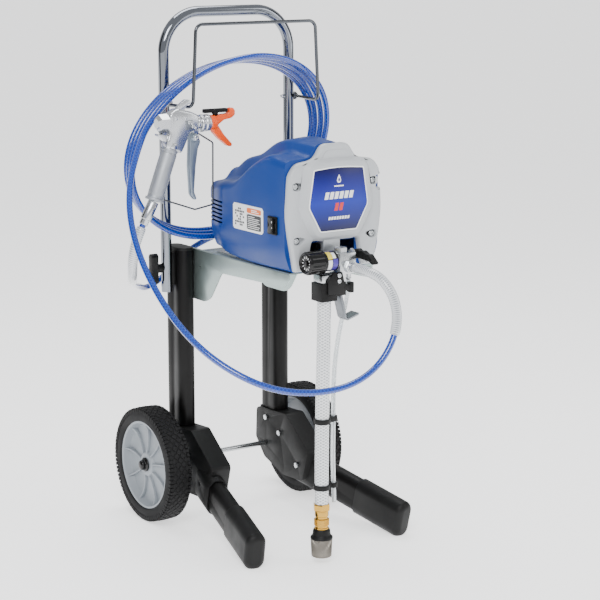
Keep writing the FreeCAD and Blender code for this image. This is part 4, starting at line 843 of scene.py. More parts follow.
def make_housing():
    """The blue housing: one moulded shell with louvred rear corners and a hole for the switch."""
    # The right half is a little narrower than the left, and falls away above its waist.
    narrow, fall, waist, shoulder = 0.975, 0.14, 600, 70
    depths = []
    steps = 8
    for one, two in zip(STATIONS, STATIONS[1:]):
        depths += [one[0] + (two[0] - one[0]) * i / steps for i in range(steps)]
    depths.append(STATIONS[-1][0])
    bm = bmesh.new()
    rings = []
    for y in depths:
        line = shell_line(y)
        right = [(x * narrow, z - fall * max(0, z - waist) * min(1, x / shoulder)) for x, z in line]
        loop = right + [(-x, z) for x, z in line[-2:0:-1]]
        rings.append([bm.verts.new(at(x, y, z)) for x, z in loop])
    for one, two in zip(rings, rings[1:]):
        bridge(bm, one, two)
    bm.faces.new(rings[0])
    bm.faces.new(rings[-1])
    shell = from_bm("housing_piece", bm, 40)
    wall = shell.modifiers.new("Wall", "SOLIDIFY")
    wall.thickness = 2.4 * MM
    wall.offset = -1
    settle(shell)
    cutters = []
    slots = bpy.context.scene.sprayer_dressing.vent_slots
    for side in (-1, 1):
        slot = block("slot", (-18, -28, -1.7), (18, 28, 1.7))
        cutters.append(grow(row_tree(), "slots", Piece=slot, Count=slots, Start=at(side * 92, -113, 569),
                            Step=(0, 0, 7.2 * MM), Finish="Blue ABS"))
    switch = block("switch_hole", (-112, -317.5, 571.5), (-80, -292.5, 600.5))
    mouth = block("pump_mouth", (-46, -345, 500), (46, -300, 556))
    for one in (switch, mouth):
        one.data.transform(Matrix.Translation(ORIGIN))
        cutters.append(one)
    carve(shell, join("cutters", cutters))
    shade(shell.data, 32)
    keep(shell, "root", "shell_blue", "Blue ABS", "housing")


# Outlines across and up, and the cover's corner radii; then the front face's, rear edge's and panel's depths.
LABEL = ((-51, 681), (0, 685), (51, 681), (61, 618), (37, 575), (-37, 575), (-61, 618))
COVER = ((-27, 722.5), (27, 722.5), (43, 697), (80, 692), (93, 674), (94.5, 662.5), (87, 661.5), (87, 642),
         (96, 641), (98, 606), (94, 572), (82, 509), (57, 509), (47, 559), (-47, 559), (-57, 509), (-82, 509),
         (-94, 572),
         (-98, 606), (-94.5, 662), (-93, 674), (-80, 692), (-43, 697))
COVER_RADII = (11, 11, 12, 13, 7, 1.5, 1.5, 1.5, 2, 14, 12, 4, 4, 5, 5, 4, 4, 12, 14, 8, 7, 13, 12)
SCREWS = ((-80, 654), (-78, 562), (80, 654), (78, 562))
FACE, BACK, BOSS = -348.0, -336.5, -357.0


def make_cover():
    """The grey front cover: a dished skirt, a raised panel for the label and a well for each screw."""
    bm = bmesh.new()
    outer = round_outline(COVER, COVER_RADII, 5)

    def ring(outline, y):
        return [bm.verts.new(at(x, y, z)) for x, z in outline]

    def bridge_all(loops):
        for one, two in zip(loops, loops[1:]):
            bridge(bm, one, two)

    layers = [ring(outer, BACK), ring(outer, FACE + 6), ring(inset(outer, 0.8), FACE + 3.6),
              ring(inset(outer, 2.6), FACE + 1.0), ring(inset(outer, 4.4), FACE)]
    bridge_all(layers)
    soft = round_outline(LABEL, (7, 30, 7, 9, 7, 7, 9), 5)
    panel = round_outline(LABEL, (3.5, 30, 3.5, 5, 3, 3, 5), 5)
    foot = ring(inset(soft, -16), FACE)
    raised = [foot, ring(inset(soft, -15.2), FACE - 0.8), ring(inset(panel, -9.6), BOSS + 0.9),
              ring(inset(panel, -8.4), BOSS), ring(inset(panel, -1.6), BOSS), ring(inset(panel, -1.0), BOSS + 0.8)]
    bridge_all(raised)
    bm.faces.new(raised[-1])
    wells = []
    for x, z in SCREWS:
        side = 1 if x > 0 else -1
        tear = round_outline([(x + side * 7.5, z - 6), (x + side * 7.5, z + 6.5), (x - side * 2, z + 8.2),
                              (x - side * 16, z + 4.5), (x - side * 16, z + 0.5), (x - side * 4, z - 7.8)], 6, 4)
        well = [ring(tear, FACE), ring(inset(tear, 0.8), FACE + 1.0), ring(inset(tear, 1.3), FACE + 8)]
        bridge_all(well)
        bm.faces.new(well[-1])
        wells.append(well[0])
    bm.edges.ensure_lookup_table()
    # The flat face fills the space between the skirt, the panel's foot and the screw wells.
    rims = [layers[-1], foot] + wells
    edges = [bm.edges.get((loop[i], loop[(i + 1) % len(loop)])) for loop in rims for i in range(len(loop))]
    bmesh.ops.triangle_fill(bm, use_beauty=True, use_dissolve=False, edges=edges)
    bm.faces.new(layers[0])
    cover = from_bm("front_cover_piece", bm, 38)
    nub = [(-21, 712), (21, 712), (31, 694), (-31, 694)]
    facet = plate("nub_facet", round_outline(nub, (8, 8, 4, 4)), FACE + 0.5, FACE - 1.2, 0.9)
    unite("front_cover_piece", [cover, facet], "root", "cover_grey", "Light grey ABS", "front_cover", smooth=38)
    heads, collars = [], []
    for x, z in SCREWS:
        profile = round_profile([(0, 0), (0, 5.9), (3.4, 5.6), (5.4, 3.8), (5.4, 2.2), (2.6, 2.0),
                                 (2.6, 0)], 0.8, 3)
        heads.append(lathe("head", profile, at(x, FACE + 7.9, z), FORWARD, 28))
        collar = round_profile([(0, 0), (0, 7.6), (2.4, 7.4), (2.6, 6.1), (0.6, 6.0)], 0.4, 2) + [(0.6, 0)]
        collars.append(lathe("collar", collar, at(x, FACE + 7.9, z), FORWARD, 32))
    unite("cover_screw_collars", collars, "root", "moulded_black", "Moulded nylon")
    unite("cover_screws_piece", heads, "root", "zinc", "Bright zinc plate", "cover_screws")


def slanted(x, z, wide, tall, lean=0.25):
    """A leaning bar's outline about a middle."""
    a, b = wide / 2, tall / 2
    shift = b * lean
    return [(x - a - shift, z - b), (x + a - shift, z - b), (x + a + shift, z + b), (x - a + shift, z + b)]


def make_labels():
    """The front label with a keyline, a drop and plain bars, and the side label with blocks and lines."""
    panel = round_outline(LABEL, (3, 30, 3, 5, 3, 3, 5), 4)
    white = plate("front_label_edge", inset(panel, -0.8), BOSS + 0.8, BOSS + 0.2, 0.15)
    keep(white, "root", "label", "White vinyl")
    blue = plate("front_label", inset(panel, 1.6), BOSS + 0.5, BOSS - 0.05, 0.1)
    keep(blue, "root", "label", "Printed blue vinyl", "labels")
    drop = []
    for i in range(28):
        angle = 2 * math.pi * i / 28
        pinch = math.sin(angle / 2) ** 1.4
        drop.append((5.6 * math.sin(angle) * pinch, 664 + 7.2 * math.cos(angle)))
    inner = [(x * 0.52, 662.8 + (z - 664) * 0.46) for x, z in drop]
    marks = [(drop, "White vinyl", 0.3), (inner, "Printed blue vinyl", 0.5)]
    marks += [(slanted(0, 651.6, 19, 2.0, 0), "White vinyl", 0.3)]
    marks += [(slanted(-24.5 + 10 * i, 636, 7.4, 12), "White vinyl", 0.3) for i in range(6)]
    marks += [(slanted(-4.5 + 9.5 * i, 616.5, 7, 13), "Red ink vinyl", 0.3) for i in range(2)]
    marks += [(slanted(-19 + 5.5 * i, 597.5, 4, 5), "White vinyl", 0.3) for i in range(8)]
    by_ink = {}
    for outline, ink, lift in marks:
        by_ink.setdefault(ink, []).append(plate("mark", outline, BOSS + 0.2, BOSS - lift, 0.0))
    for ink, found in by_ink.items():
        unite("front_mark_" + ink.split()[0].lower(), found, "root", "label", ink)
    make_side_label()


def close_strip(name, bm, rings):
    """A thin piece whose cross sections are rings of vertices."""
    for one, two in zip(rings, rings[1:]):
        bridge(bm, one, two)
    bm.faces.new(rings[0])
    bm.faces.new(rings[-1])
    return from_bm(name, bm)


def side_plate(name, rear, front, low, high, lift, radius=1.0):
    """A thin plate that follows the housing's left wall, lift in millimetres above it, with round corners."""
    bm = bmesh.new()
    columns = []
    steps = max(4, int((rear - front) / 4))
    for i in range(steps + 1):
        y = rear + (front - rear) * i / steps
        near = min(abs(y - rear), abs(y - front))
        lost = radius - math.sqrt(max(0, radius ** 2 - (radius - near) ** 2)) if near < radius else 0
        wall = -station(y)[0]
        corners = ((0, low + lost), (lift, low + lost), (lift, high - lost), (0, high - lost))
        columns.append([bm.verts.new(at(wall - out, y, z)) for out, z in corners])
    return close_strip(name, bm, columns)


def make_side_label():
    """A white side label with an orange heading, a dark block of lines and a square of small blocks."""
    white = side_plate("side_label", -180, -277, 566, 611, 0.5, 4)
    keep(white, "root", "label", "White vinyl")
    orange = side_plate("side_label_heading", -226, -271, 598, 607, 0.7)
    keep(orange, "root", "label", "Orange ink vinyl")
    dark = [side_plate("dark", -226, -271, 570, 596, 0.7)]
    for row in range(7):
        for column in range(6):
            # A plain scatter of blocks that stands for no code.
            if (row * 5 + column * 3 + row * column) % 4 < 2:
                rear = -187 - 5.2 * column
                low = 573 + 4.6 * row
                dark.append(side_plate("dark", rear, rear - 3.8, low, low + 3.4, 0.7, 0.3))
    unite("side_label_blocks", dark, "root", "label", "Black ink vinyl")
    lines = [side_plate("line", -229, -229 - span, 572.6 + 3.2 * i, 573.6 + 3.2 * i, 0.85, 0.1)
             for i, span in enumerate((36, 38, 30, 39, 34, 37, 22))]
    lines += [side_plate("line", -240, -240 - span, 600.2 + 3 * i, 601.6 + 3 * i, 0.85, 0.1)
              for i, span in enumerate((24, 18))]
    unite("side_label_lines", lines, "root", "label", "White vinyl")


def make_switch():
    """The switch's bezel in the left wall and its tipping rocker."""
    frame_line = round_outline([(-318.5, 570.5), (-291.5, 570.5), (-291.5, 601.5), (-318.5, 601.5)], 2.5)
    bezel = plate("switch_bezel", frame_line, -101.6, -97, 0.7, plane="yz")
    hole = block("hole", (-110, -315.2, 573.6), (-90, -294.8, 598.4))
    hole.data.transform(Matrix.Translation(ORIGIN))
    carve(bezel, hole)
    shade(bezel.data, 35)
    keep(bezel, "root", "moulded_black", "Moulded nylon")
    soften("rocker", "Gloss black phenolic", 0.8)
    marks = []
    for low, high in ((577, 583), (590, 595)):
        outline = [(-305.6, low), (-304.4, low), (-304.4, high), (-305.6, high)]
        marks.append(plate("mark", outline, -101.9, -101.2, 0.0, plane="yz"))
    unite("rocker_marks", marks, BODY_OF["rocker"], "label", "White vinyl")


# --- spray gun ---

# The depth of the gun's middle plane, and the ends of its grip across and up.
GUN_Y = -122
GRIP_TOP = (-190.5, 703)
GRIP_FOOT = (-221.5, 620.5)


def gun_plate(name, outline, wide, rounding, radius=3):
    """A piece of the gun with an outline seen from its side."""
    return plate(name, round_outline(outline, radius, 4), GUN_Y - wide / 2, GUN_Y + wide / 2, rounding, segments=3)


def gun_lathe(name, profile, x, z, sides=48):
    return lathe(name, profile, at(x, GUN_Y, z), ACROSS, sides)


def button(name, x, y, z, radius, deep):
    """A screw head with a driver recess."""
    recess = radius * 0.35
    profile = round_profile([(0, 0), (0, radius), (deep * 0.7, radius * 0.95), (deep, radius * 0.7), (deep, recess),
                             (deep * 0.5, recess), (deep * 0.5, 0)], 0.4, 2)
    return lathe(name, profile, at(x, y, z), FORWARD, 24)


def make_gun_body():
    """The gun's casting: body, hanging fin, rear cap, spur, neck and its screws."""
    side = GUN_Y - 12
    parts = [
        gun_plate("body", [(-196, 731), (-196, 763), (-180, 773), (-152, 766), (-137, 759), (-137, 735), (-155, 731),
                           (-164, 712), (-173, 695), (-203, 705), (-202, 718)], 24, 4.5, 5),
        gun_plate("fin", [(-186, 764), (-172, 779), (-160, 787), (-150, 786), (-148.5, 780), (-157, 778), (-163, 768),
                          (-158, 758)], 8, 1.6, 3),
        gun_plate("spur", [(-217, 731), (-196, 727), (-178, 709), (-186, 702), (-201, 716), (-216, 727)], 13, 2, 3),
        gun_plate("hanger", [(-150, 738), (-134.6, 738), (-134.6, 726), (-144, 722)], 9, 1.5, 3),
        gun_lathe("cap", [(0, 0), (0.4, 9), (5, 15.6), (21, 16.4), (23, 14), (23, 0)], -217, 748, 6),
        gun_lathe("neck", round_profile([(0, 0), (0, 11.5), (6, 11.5), (7, 10), (9, 10), (10, 11.5), (15, 11.5),
                                         (15, 0)], 0.6, 2), -147, 746),
        lathe("collar", round_profile([(0, 0), (0, 12.5), (3, 13.5), (9, 13.5), (12, 12), (12, 0)], 0.8, 2),
              at(GRIP_TOP[0], GUN_Y, GRIP_TOP[1]), grip_way(), 48),
    ]
    for x, z, radius in ((-165, 756, 3.2), (-153, 747, 3.6), (-146, 738, 2.8), (-184, 756, 3.0)):
        parts.append(button("screw", x, side + 0.4, z, radius, 2.2))
    unite("gun_body_piece", parts, "root", "die_cast", "Die cast aluminium", "gun_body")
    recess = plate("gun_recess", round_outline([(-166, 735), (-151, 735), (-151, 752), (-166, 752)], 2), side - 0.3,
                   side + 3, 0.3)
    keep(recess, "root", "steel", "Tumbled steel strip")
    unite("gun_studs", [button("stud", x, side - 0.2, z, 3.4, 3) for x, z in ((-158.5, 748), (-151.5, 741))],
          "root", "zinc", "Bright zinc plate")


def grip_way():
    way = Vector((GRIP_TOP[0] - GRIP_FOOT[0], 0, GRIP_TOP[1] - GRIP_FOOT[1]))
    return way.normalized()


def make_gun_grip():
    """The gun's round grip tube with a ring at each end, and the wire guard before it."""
    long = math.dist(GRIP_TOP, GRIP_FOOT)
    profile = round_profile([(-5, 9), (-5, 16.6), (-0.8, 16.8), (0, 14.2), (6, 14.2), (6.6, 14.5), (long - 8, 14.5),
                             (long - 7.4, 13.6), (long - 5, 13.6), (long - 4.4, 14.5), (long, 14.5),
                             (long, 0)], 0.5, 2)
    grip = lathe("gun_grip_piece", [(-5, 0)] + profile, at(GRIP_FOOT[0], GUN_Y, GRIP_FOOT[1]), grip_way(), 56)
    keep(grip, "root", "die_cast", "Blasted aluminium", "gun_grip")
    soften("guard_wire", "Chromed wire", 0)


def make_trigger():
    """The long curled trigger and its pivot screw."""
    blade = gun_plate("blade", [(-152, 728), (-140, 728), (-131.5, 713), (-137, 702), (-142, 672), (-146, 626),
                                (-141, 614), (-143.5, 611), (-152, 621), (-155, 672)], 11, 1.6, 4)
    boss = button("pivot", -145, GUN_Y - 5, 721, 7.4, 8)
    channel = gun_plate("channel", [(-149, 714), (-139.5, 714), (-142.5, 702), (-146.5, 676), (-149, 640),
                                    (-151, 676)], 11.8, 0.4, 2)
    unite("trigger_piece", [blade, boss, channel], BODY_OF["trigger"], "die_cast", "Grey cast trigger", "trigger")
    bolt = button("trigger_bolt", -145, GUN_Y - 12.4, 721, 5.2, 3.2)
    keep(bolt, BODY_OF["trigger"], "zinc", "Bright zinc plate")


def make_tip():
    """The silver nut, the orange guard with its two prongs, and the black reversing handle of the tip."""
    nut_x, tip_z = -131.4, 744
    profile = round_profile([(0, 9), (0, 14.2), (2, 15), (6, 15), (7, 13.6), (9, 13.6), (10, 15), (17, 15),
                             (19.4, 13.5), (19.4, 9)], 0.7, 2)
    nut = gun_lathe("guard_nut", profile, nut_x, tip_z)
    ribs = grow(ring_tree(), "nut_ribs", Piece=block("rib", (1, -0.9, 14.2), (6, 0.9, 15.4), 0.3), Count=24,
                Middle=at(nut_x, GUN_Y, tip_z), Finish="Die cast aluminium")
    body = BODY_OF["tip_guard"]
    unite("guard_nut", [nut, ribs], body, "die_cast", "Die cast aluminium")
    ring = gun_lathe("ring", round_profile([(0, 4), (0, 12.4), (2, 13.2), (10, 13.2), (12.6, 11), (12.6, 4)], 1, 3),
                     -111.8, tip_z)
    upper = gun_plate("upper", [(-108, 751), (-101, 755), (-91, 757.5), (-77, 758.4), (-72.6, 760), (-72, 767.4),
                                (-65, 768.6), (-60.6, 763), (-61.5, 755), (-69, 750), (-83, 748), (-94, 741),
                                (-100, 733), (-108, 737)], 13, 2.2, 2.6)
    under = gun_plate("under", [(-108, 746), (-98, 742), (-84, 722), (-67.6, 705), (-69, 700.6), (-75, 701),
                                (-93, 715), (-104, 726), (-109, 735)], 13, 2.2, 2.6)
    unite("tip_guard_piece", [ring, upper, under], body, "orange", "Orange acetal", "tip_guard", smooth=40)
    outline = round_outline([(-122.8, 761.2), (-75.2, 761.2), (-75.2, 768), (-122.8, 768)], 1.6)
    bar = plate("bar", outline, GUN_Y - 4.5, GUN_Y + 4.5, 1.0)
    ridges = grow(row_tree(), "ridges", Piece=block("ridge", (-0.8, -5, -0.3), (0.8, 5, 0.5), 0.25), Count=5,
                  Start=at(-119, GUN_Y, 767.6), Step=(3.2 * MM, 0, 0),
                  Finish="Moulded nylon")
    stem = lathe("stem", round_profile([(-6, 0), (-6, 3.9), (12, 3.9), (14, 5.6), (18, 5.6), (18, 0)], 0.5, 2),
                 at(-99, GUN_Y, 745), UP, 32)
    unite("tip_handle_piece", [bar, ridges, stem],
          BODY_OF["tip_handle"], "moulded_black", "Moulded nylon", "tip_handle")


# --- fluid section ---

# The fluid block's depth and height, and the height of the priming valve beside it.
FLUID_Y, FLUID_Z, VALVE_Z = -370, 528, 536


def make_pressure_knob():
    """The ribbed pressure knob with a recessed end, its ticks, and the colour band behind it."""
    axis = at(-79, FLUID_Y, FLUID_Z)
    body = BODY_OF["pressure_knob"]
    profile = round_profile([(4.0, 0), (4.0, 13.4), (0.9, 14.6), (0, 16.6), (1.4, 18.4), (4.2, 18.9), (31, 19.3),
                             (32.4, 19.9), (35, 19.9), (35.5, 18.6), (35.5, 0)], 0.6, 3)
    knob = lathe("knob", profile, axis, ACROSS, 72)
    ribs = grow(ring_tree(), "ribs", Piece=block("rib", (4.5, -1.5, 17.8), (30.5, 1.5, 19.95), 0.6), Count=18,
                Middle=axis, Finish="Gloss black phenolic")
    hub = lathe("hub", round_profile([(1.4, 0), (1.4, 4.6), (4.4, 5.2)], 0.6, 3) + [(4.4, 0)], axis, ACROSS, 36)
    unite("pressure_knob_piece", [knob, ribs, hub],
          body, "gloss_black", "Gloss black phenolic", "pressure_knob")
    ticks = grow(ring_tree(), "pressure_ticks", Piece=block("tick", (3.6, -0.55, 8.6), (4.3, 0.55, 12.2)), Count=12,
                 Middle=axis, Finish="White vinyl")
    keep(ticks, body, "label", "White vinyl")
    profile = round_profile([(36.3, 0), (36.3, 15.8), (37, 16.6), (60, 16.6), (61, 15.6), (61, 0)], 0.5, 2)
    band = lathe("colour_band", profile, axis, ACROSS)
    keep(band, "root", "moulded_black", "Moulded nylon")
    patches = (("Yellow ink vinyl", 38, 47, 20, 80), ("White vinyl", 38, 46, -50, 14),
               ("White vinyl", 47.5, 54, 24, 66), ("Violet ink vinyl", 47.5, 57, -70, 20),
               ("Printed blue vinyl", 38, 46.5, -110, -56),
               ("Violet ink vinyl", 38, 57, 84, 120), ("White vinyl", 50, 56, -104, -76))
    for number, (ink, near, far, start, end) in enumerate(patches):
        patch = band_patch("band_patch_%d" % number, axis, near, far, start, end)
        keep(patch, "root", "label", ink)


def band_patch(name, axis, near, far, start, end):
    """A printed patch wrapped on the band, between two angles from the front towards the top."""
    bm = bmesh.new()
    under, over, steps = 16.5, 16.8, 8
    rows = []
    for i in range(steps + 1):
        angle = math.radians(start + (end - start) * i / steps)
        corners = ((near, under), (far, under), (far, over), (near, over))
        spots = [Vector((x, -radius * math.cos(angle), radius * math.sin(angle))) * MM for x, radius in corners]
        rows.append([bm.verts.new(axis + spot) for spot in spots])
    return close_strip(name, bm, rows)


def make_fittings():
    """The bright fluid block with its hexagons, the outlet, the drain barb and the cast block above."""
    soften("manifold", "Bright zinc plate", 1.6)
    parts = []
    for x, radius, long in ((-17.5, 14.5, 7), (14, 9.5, 7)):
        parts.append(lathe("hex", [(0, 0), (0, radius - 1), (1, radius), (long - 1, radius), (long, radius - 1),
                                   (long, 0)], at(x, FLUID_Y, FLUID_Z if x < 0 else VALVE_Z), ACROSS, 6))
    parts.append(lathe("barb", round_profile([(0, 0), (0, 6.5), (7, 6.5), (8, 4.6), (16, 4.4), (17, 5.2), (20, 4.2),
                                              (20, 0)], 0.4, 2), at(11, FLUID_Y, 512), -UP, 32))
    parts.append(lathe("gland", [(0, 0), (0, 11), (1, 12), (9, 12), (10, 11), (10, 0)], at(-6, FLUID_Y, 540),
                       UP, 6))
    unite("fluid_hexes", parts, "root", "zinc", "Bright zinc plate")
    place = at(-1, -386.8, 519)
    outlet = [lathe("hex", [(0, 0), (0, 10), (1, 11), (8, 11), (9, 10), (9, 0)], place, FORWARD, 6),
              lathe("stub", round_profile([(8, 0), (8, 8.4), (11, 8.4), (11.6, 7.4), (13, 7.4), (13.6, 8.6),
                                           (18, 8.6), (18.2, 7.0), (18.2, 0)], 0.4, 2), place, FORWARD, 40)]
    unite("outlet_fitting_piece", outlet, "root", "zinc", "Bright zinc plate", "outlet_fitting")
    cast = plate("cast_block", round_outline([(-27, 541), (7, 541), (7, 561), (-27, 561)], 2), -351, -330, 1.0)
    keep(cast, "root", "die_cast", "Rough cast zinc")


def make_lever():
    """The black priming lever with its wavy back, turning on the valve."""
    outline = [(-362, 540), (-371, 544), (-380, 541), (-389, 543), (-398, 538.5), (-407, 539), (-415, 533),
               (-422, 527.5), (-422.6, 523.6), (-417, 522.6), (-408, 527), (-398, 528), (-384, 528.4), (-370, 527.6),
               (-362, 531)]
    blade = plate("blade", round_outline(outline, 3.4, 4), 24.6, 36, 2.2, plane="yz", segments=3)
    profile = round_profile([(-7, 0), (-7, 7.6), (7, 7.6), (8.4, 6), (8.4, 0)], 0.8, 3)
    hub = lathe("hub", profile, at(30, FLUID_Y, VALVE_Z), ACROSS, 40)
    ridges = grow(row_tree(), "ridges", Piece=block("ridge", (-0.5, -0.8, -5), (0.5, 0.8, 5), 0.3), Count=6,
                  Start=at(24.6, -382, 535), Step=(0, -4.4 * MM, -0.9 * MM),
                  Finish="Moulded nylon")
    unite("prime_lever_piece", [blade, hub, ridges],
          BODY_OF["prime_lever"], "moulded_black", "Moulded nylon", "prime_lever")


def make_holder():
    """The black holder on the suction hose with its two screws, and the flat steel pail hook."""
    soften("hook_holder", "Moulded nylon", 1.4)
    face = plate("face", round_outline([(-44, 474), (-11, 474), (-11, 496), (-15, 511), (-32, 511), (-44, 498)], 2.5),
                 -389.5, -385, 0.8)
    arm = plate("arm", round_outline([(-12, 484), (-4, 477), (5, 477), (5, 472), (13, 472), (13, 490), (5, 490),
                                      (5, 486), (-2, 486), (-12, 494)], 1.5), -384, -374, 0.8)
    unite("holder_face", [face, arm], "root", "moulded_black", "Moulded nylon")
    unite("holder_screws", [button("screw", -22, -389.5, z, 3.9, 2.6) for z in (505.5, 496)],
          "root", "zinc", "Bright zinc plate")
    soften("pail_hook", "Tumbled steel strip", 0.5)


def make_strainer():
    """The brass coupling, its black cap and the woven strainer basket."""
    place = at(-43, FLUID_Y, 0)

    def turned(name, profile, sides=56):
        return lathe(name, profile, place, UP, sides)

    brass = [turned("hex", [(94, 0), (94, 14), (95, 15.4), (104, 15.4), (105.6, 14), (105.6, 0)], 6),
             turned("barrel", round_profile([(60, 0), (60, 12.4), (63, 12.6), (63.6, 11.2), (66, 11.2), (66.6, 12.6),
                                             (79, 12.6), (79.6, 10.8), (83, 10.8), (83.6, 12), (94, 12), (94, 0)],
                                            0.4, 2))]
    knurl = grow(ring_tree(), "knurl", Piece=block("ridge", (67.4, -0.5, 12.2), (78.4, 0.5, 13.2), 0.2), Count=44,
                    Finish="Turned brass")
    knurl.data.transform(Matrix.Translation(place) @ Matrix.Rotation(-math.pi / 2, 4, "Y"))
    brass = unite("hose_coupling_piece", brass + [knurl], "root", "brass", "Turned brass", "hose_coupling")
    cap = turned("strainer_cap", round_profile([(61, 0), (61, 13.6), (58, 15), (50, 16), (46.5, 19.4), (43.4, 19.6),
                                                (43, 18.6), (43, 0)], 1, 3))
    keep(cap, "root", "moulded_black", "Moulded nylon")
    core = turned("core", round_profile([(12, 0), (12, 15.6), (15, 17.2), (44, 18), (44, 0)], 1, 2))
    wires = [core]
    for way in (1, -1):
        line = []
        for i in range(10):
            rise = i / 9
            radius = 17.3 + 1.3 * rise
            angle = way * rise * 1.5
            line.append(Vector((12.4 + 31 * rise, radius * math.sin(angle), radius * math.cos(angle))) * MM)
        wire = sweep("wire", line, 0.42 * MM, 4)
        ring = grow(ring_tree(), "wires", Piece=wire, Count=34, Finish="Woven stainless wire")
        ring.data.transform(Matrix.Translation(place) @ Matrix.Rotation(-math.pi / 2, 4, "Y"))
        wires.append(ring)
    wires.append(turned("rim", round_profile([(11.2, 0), (11.2, 17), (13.4, 17.8), (14, 16.6)], 0.6, 2) + [(14, 0)]))
    basket = unite("strainer_screen_piece", wires, "root", "steel", "Woven stainless wire", "strainer_screen")
    return [brass, cap, basket]


# --- the rest, from the CAD pieces ---

PLAIN = {
    "Powder coated steel": ("left_post", "right_post", "left_skid", "right_skid"),
    "Moulded nylon": ("left_elbow", "right_elbow", "left_foot_cap", "right_foot_cap", "left_post_cap",
                      "right_post_cap", "left_clamp_knob", "right_clamp_knob", "handle_saddles", "power_inlet"),
    "Passivated zinc plate": ("shelf_bracket",),
    "Bright zinc plate": ("axle", "frame_bolts", "rack_bolts", "base_bolts", "base_plate",
                          "motor_can", "armature", "drive_gear", "gear_plate",
                          "piston_rod", "pump_cylinder"),
    "Chrome plate": ("handle_tube",),
    "Chromed wire": ("hose_rack",),
}


def make_plain():
    for name, nodes in PLAIN.items():
        for node in nodes:
            soften(node, name)


# --- studio ---

def look(obj, target):
    """Turn a camera or a lamp towards a point."""
    obj.rotation_mode = "QUATERNION"
    obj.rotation_quaternion = (target - obj.location).to_track_quat("-Z", "Y")


def make_camera():
    """The camera, in front of the machine's left side and above it."""
    data = bpy.data.cameras.new("Camera")
    data.lens = 109.4
    data.clip_end = 200
    camera = show("Camera", data)
    camera.location = at(-1760.8, -2838.0, 1072.3)
    yaw, dip = math.radians(34.13), math.radians(11.46)
    ahead = Vector((math.sin(yaw) * math.cos(dip), math.cos(yaw) * math.cos(dip), -math.sin(dip)))
    look(camera, camera.location + ahead)
    bpy.context.scene.camera = camera


def make_lamp(name, place, size, power):
    """A soft lamp of a size in metres and a power in watts that faces the sprayer's middle."""
    data = bpy.data.lights.new(name, "AREA")
    data.shape = "RECTANGLE"
    data.size, data.size_y = size
    data.energy = power
    lamp = show(name, data)
    lamp.location = place
    look(lamp, Vector((0, -0.05, 0.45)))


def make_cards():
    """Two tall dark cards beside the set that only reflections see, to give bright metal its dark edges."""
    finish("Black card", "050505", 0.9)
    for name, place, wide in (("left_card", (-1.5, 0.75, 1.0), 0.9), ("right_card", (1.45, -0.55, 1.0), 0.6)):
        bm = bmesh.new()
        bmesh.ops.create_grid(bm, x_segments=1, y_segments=1, size=0.5)
        turn = Vector((-place[0], -place[1], 0)).to_track_quat("Z", "Y").to_matrix().to_4x4()
        shape = Matrix.Translation(place) @ turn @ Matrix.Diagonal((wide, 2.0, 1, 1))
        bmesh.ops.transform(bm, matrix=shape, verts=bm.verts)
        card = from_bm(name, bm, outward=False)
        card.data.materials.append(FINISHES["Black card"])
        card.visible_camera = False
        card.visible_diffuse = False
        card.visible_shadow = False


def make_studio():
    """A pale floor, an even bright room and three soft lamps."""
    bm = bmesh.new()
    bmesh.ops.create_grid(bm, x_segments=8, y_segments=8, size=60)
    floor = from_bm("floor", bm, outward=False)
    floor.location.z = -0.2 * MM
    finish("Studio floor", "fafafa", 0.8, Emission_Color=tone("ffffff"), Emission_Strength=1.1)
    floor.data.materials.append(FINISHES["Studio floor"])
    world = bpy.data.worlds.new("Studio")
    world.use_nodes = True
    bpy.context.scene.world = world
    sky = world.node_tree.nodes["Background"]
    sky.inputs["Color"].default_value = tone("f7f8fa")
    sky.inputs["Strength"].default_value = 0.75
    make_cards()
    make_lamp("Key lamp", (-1.6, -1.9, 2.3), (1.3, 1.3), 62)
    make_lamp("Fill lamp", (2.1, -1.6, 1.5), (1.2, 1.8), 20)
    make_lamp("Top lamp", (0.2, 0.6, 2.8), (1.8, 1.2), 44)


# --- settings, operators and panel ---

class SprayerDressing(bpy.types.PropertyGroup):
    """Sizes and colours that a user may change before the pieces are made."""

    shell_blue: FloatVectorProperty(name="Housing colour", description="Colour of the moulded housing",
                                    subtype="COLOR", size=3, min=0, max=1, default=tone("00337e")[:3])
    cover_grey: FloatVectorProperty(name="Cover colour", description="Colour of the front cover",
                                    subtype="COLOR", size=3, min=0, max=1, default=tone("b4b7ba")[:3])
    rim_ribs: IntProperty(name="Rim ribs", description="Ribs on each wheel's rim", default=9, min=5, max=16)
    vent_slots: IntProperty(name="Vent slots", description="Slots in each rear corner of the housing", default=6,
                            min=3, max=8)


class SPRAYER_OT_finishes(bpy.types.Operator):
    """Make every material of the sprayer"""

    bl_idname = "sprayer.finishes"
    bl_label = "Finishes"

    def execute(self, context):
        make_finishes()
        return {"FINISHED"}


class SPRAYER_OT_studio(bpy.types.Operator):
    """Make the camera, the floor and the soft lamps"""

    bl_idname = "sprayer.studio"
    bl_label = "Studio"

    def execute(self, context):
        make_camera()
        make_studio()
        return {"FINISHED"}


class SPRAYER_OT_paint_hose(bpy.types.Operator):
    """Make the paint hose from the pump round the rack to the gun"""

    bl_idname = "sprayer.paint_hose"
    bl_label = "Paint hose"

    def execute(self, context):
        make_paint_hose()
        return {"FINISHED"}


class SPRAYER_OT_suction_set(bpy.types.Operator):
    """Make the suction hose, the drain tube, the clips and the strainer"""

    bl_idname = "sprayer.suction_set"
    bl_label = "Suction set"

    def execute(self, context):
        make_suction_set()
        return {"FINISHED"}


class SPRAYER_OT_wheels(bpy.types.Operator):
    """Make the tyres with their tread, the ribbed rims and the axle caps"""

    bl_idname = "sprayer.wheels"
    bl_label = "Wheels"

    def execute(self, context):
        make_wheels()
        return {"FINISHED"}


